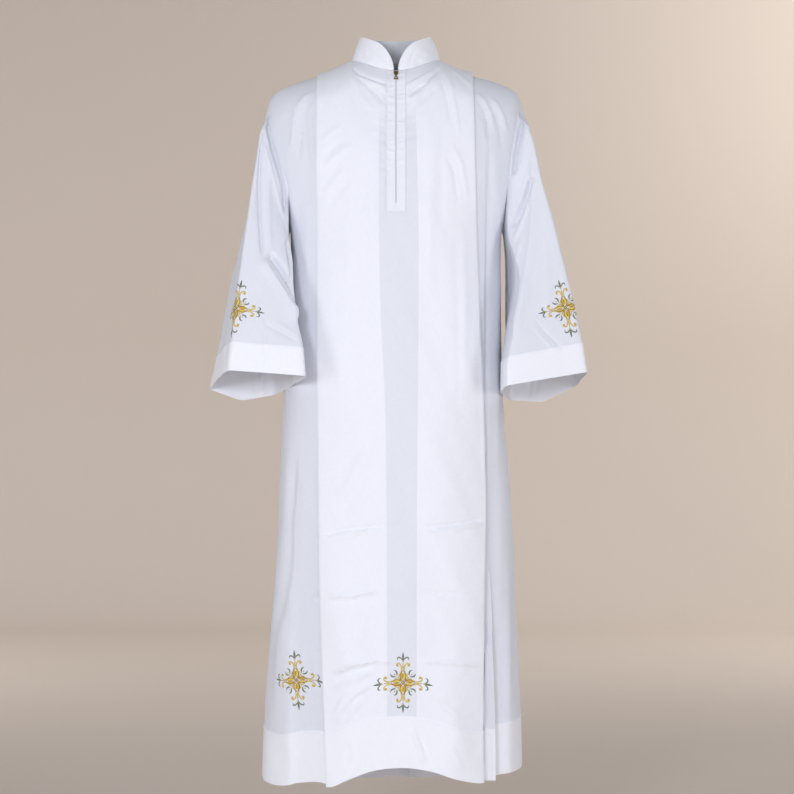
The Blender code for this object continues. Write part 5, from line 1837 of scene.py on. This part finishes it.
# name: place, what it points at, size, watts, colour
lights = {
    "keySoftbox": ((-1.3, -4.6, 0.0), (0.0, 0.0, -0.8), (0.8, 0.8), 70.0, "#F0F4FF"),
    "lowSoftbox": ((0.2, -4.8, -1.45), (0.0, 0.0, -0.75), (1.0, 0.5), 30.0, "#F0F4FF"),
    "leftSoftbox": ((-3.0, -2.4, -0.6), (0.0, 0.0, -0.9), (0.8, 1.6), 22.0, "#F0F4FF"),
    "rightSoftbox": ((3.0, -2.4, -0.5), (0.0, 0.0, -0.9), (0.8, 1.6), 27.0, "#F0F4FF"),
    "backSoftbox": ((2.9, 4.2, 1.0), (0.0, 0.0, -0.4), (1.0, 1.4), 34.0, "#FFFDFA"),
    "wallLamp": ((3.4, 4.0, 1.4), (2.1, 6.4, 0.8), (1.2, 1.2), 74.0, "#FFFAF4"),
    "floorLamp": ((-3.0, 3.0, 0.2), (-1.7, 5.0, -1.5), (1.0, 1.0), 24.0, "#FFFAF4"),
}


def studioSweep():
    corner = stage["corner"]
    profile = [(stage["front"], stage["floor"])]
    for k in range(stage["cornerSteps"] + 1):
        angle = math.pi / 2 * k / stage["cornerSteps"]
        profile.append((stage["wall"] - corner + corner * math.sin(angle),
                        stage["floor"] + corner - corner * math.cos(angle)))
    profile.append((stage["wall"], stage["top"]))
    points = np.array([[(x, y, z) for x in (-stage["side"], stage["side"])] for y, z in profile])
    index = np.arange(len(profile) * 2).reshape(-1, 2)
    faces = np.stack((index[:-1, 0], index[:-1, 1], index[1:, 1], index[1:, 0]), axis=1)
    meshPiece("studioSweep", points.reshape(-1, 3), faces, backdropPaint("sweepPaint", stage["wallColour"]))


def placed(name, data, place, turn):
    thing = bpy.data.objects.new(name, data)
    bpy.context.scene.collection.objects.link(thing)
    thing.location = place
    thing.rotation_euler = turn
    return thing


def areaLight(name, place, target, size, power, colour):
    data = bpy.data.lights.new(name, "AREA")
    data.shape = "RECTANGLE"
    data.size, data.size_y = size
    data.energy = power
    data.color = linear(colour)[:3]
    placed(name, data, place, (Vector(target) - Vector(place)).to_track_quat("-Z", "Y").to_euler())


def addCamera():
    data = bpy.data.cameras.new("camera")
    data.lens = stage["lens"]
    data.sensor_width = stage["sensor"]
    bpy.context.scene.camera = placed("camera", data, stage["camera"], (math.pi / 2, 0.0, 0.0))


def ambient(colour, strength):
    world = bpy.data.worlds.new("studioAir")
    bpy.context.scene.world = world
    world.use_nodes = True
    setUp(world.node_tree, world.node_tree.nodes["Background"], {"Color": linear(colour), "Strength": strength})


studioSweep()
for name, light in lights.items():
    areaLight(name, *light)
ambient(*stage["air"])
addCamera()
bpy.context.scene.view_settings.view_transform = "Standard"
